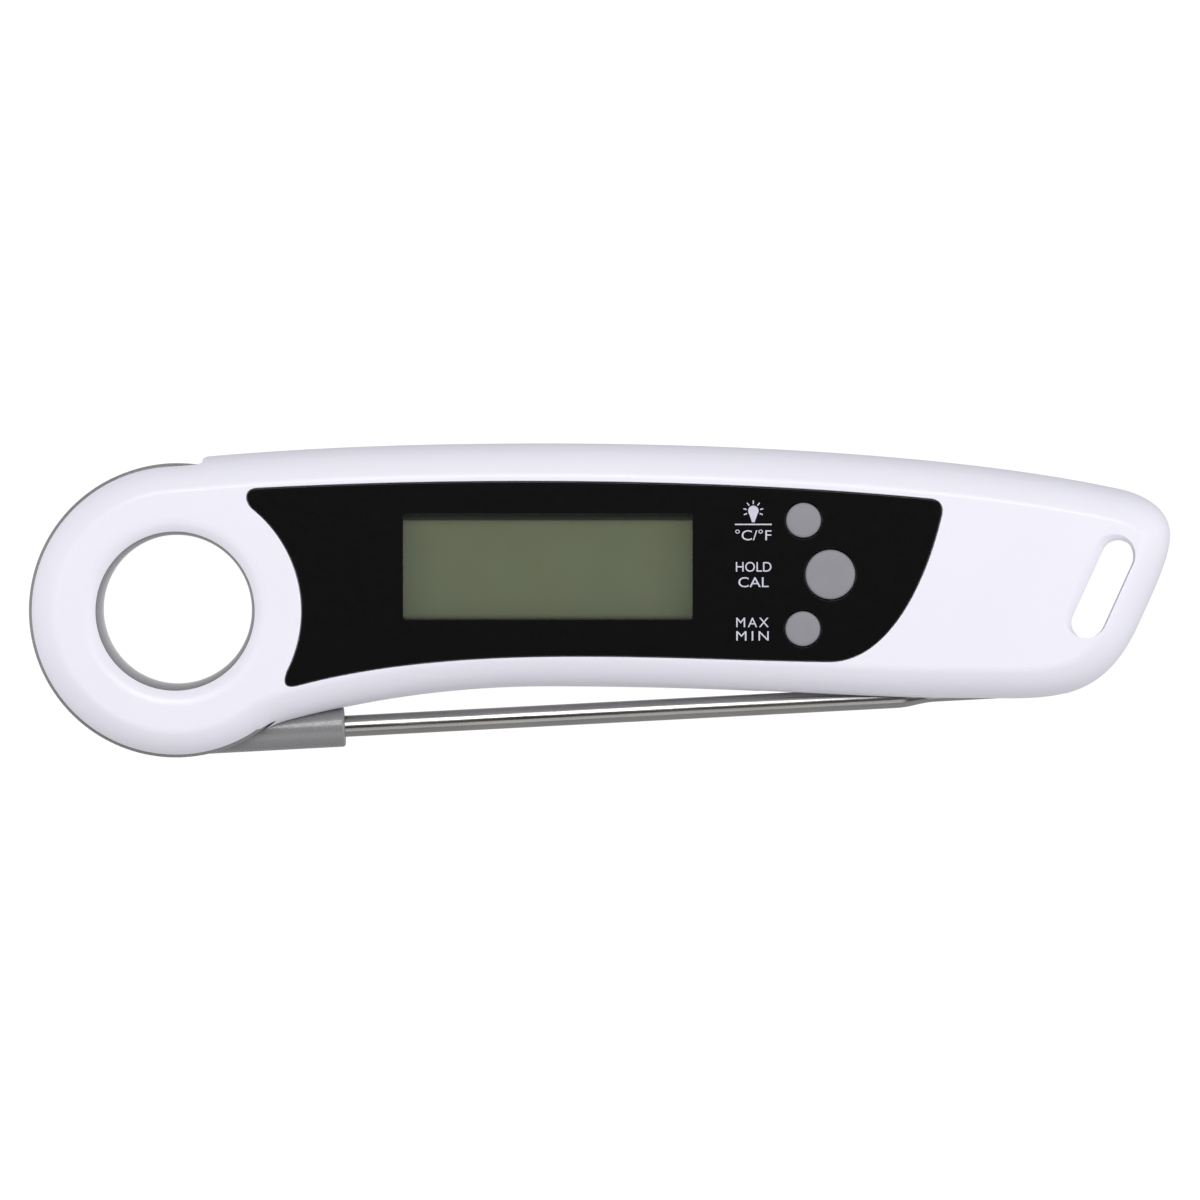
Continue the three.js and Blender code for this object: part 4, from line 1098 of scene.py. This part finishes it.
def add_surroundings():
    """The floor, and round it a low pale wall that closes the view level with the object."""
    reach = 40 / MM
    wall_r, wall_high, wall_sides = 5 / MM, 1 / MM, 64
    corners = [(-reach, -reach, 0), (reach, -reach, 0), (reach, reach, 0), (-reach, reach, 0)]
    ring = circle((0, 0), wall_r, wall_sides)
    wall_points = [(x, y, z) for z in (0, wall_high) for x, y in ring]
    steps = [(i, (i + 1) % wall_sides) for i in range(wall_sides)]
    wall_faces = [(a, b, wall_sides + b, wall_sides + a) for a, b in steps]
    material = surface("pale_floor", (0.12, 0.12, 0.12, 1.0), 0.9, variation=0.01, patch=3, grain=60,
                       relief=0.01)
    bsdf = material.node_tree.nodes["Principled BSDF"]
    bsdf.inputs["Emission Color"].default_value = (1, 1, 1, 1)
    bsdf.inputs["Emission Strength"].default_value = 0.96
    bsdf.inputs["Specular IOR Level"].default_value = 0.1
    floor = made_of("floor", corners, [(0, 1, 2, 3)])
    wall = made_of("backdrop", wall_points, wall_faces)
    for piece in (floor, wall):
        piece.data.materials.append(material)
        piece.visible_diffuse = False
        piece.visible_glossy = False
    wall.visible_shadow = False


def add_softbox(name, azimuth, tilt, power, size=0.5, distance=1.0):
    """A square soft light tilt degrees off the vertical, on the azimuth side of the object."""
    data = bpy.data.lights.new(name, "AREA")
    data.shape = "SQUARE"
    data.size = size
    data.energy = power
    away = Vector((math.sin(math.radians(tilt)) * math.cos(math.radians(azimuth)),
                   math.sin(math.radians(tilt)) * math.sin(math.radians(azimuth)),
                   math.cos(math.radians(tilt))))
    light = bpy.data.objects.new(name, data)
    light.location = away * distance
    light.rotation_mode = "QUATERNION"
    light.rotation_quaternion = away.to_track_quat("Z", "Y")
    bpy.context.scene.collection.objects.link(light)


def add_world():
    """Pale round the horizon, most of all to the left and right, and dark overhead."""
    world = bpy.data.worlds.new("studio")
    bpy.context.scene.world = world
    world.use_nodes = True
    tree = world.node_tree
    direction = add_node(tree, "SeparateXYZ", Vector=add_node(tree, "TexCoord").outputs["Generated"])
    across = add_node(tree, "Math", {"operation": "POWER"})
    sideways = add_node(tree, "Math", {"operation": "ABSOLUTE"}, Value=direction.outputs["X"])
    tree.links.new(sideways.outputs[0], across.inputs[0])
    across.inputs[1].default_value = 2.0
    pale = add_node(tree, "MapRange", Value=across.outputs[0])
    pale.inputs["To Min"].default_value = 0.52
    pale.inputs["To Max"].default_value = 0.95
    fade = add_node(tree, "MapRange", {"interpolation_type": "SMOOTHSTEP"}, Value=direction.outputs["Z"])
    fade.inputs["From Min"].default_value = 0.25
    fade.inputs["From Max"].default_value = 0.8
    fade.inputs["To Min"].default_value = 1.0
    fade.inputs["To Max"].default_value = 0.16
    strength = add_node(tree, "Math", {"operation": "MULTIPLY"})
    tree.links.new(pale.outputs["Result"], strength.inputs[0])
    tree.links.new(fade.outputs["Result"], strength.inputs[1])
    background = tree.nodes["Background"]
    background.inputs["Color"].default_value = (0.97, 0.97, 1.0, 1.0)
    tree.links.new(strength.outputs[0], background.inputs["Strength"])


def build_studio():
    add_camera()
    add_surroundings()
    add_world()
    add_softbox("light_top", 90, 24, 4.05, 0.5)
    add_softbox("light_left", 180, 47, 0.85, 0.45, 0.6)
    add_softbox("light_right", 0, 48, 1.15, 0.45, 0.6)
    add_softbox("light_foot", 270, 42, 0.95, 0.6)
    bpy.context.scene.view_settings.view_transform = "Standard"


dress_frame()
build_object()
build_studio()
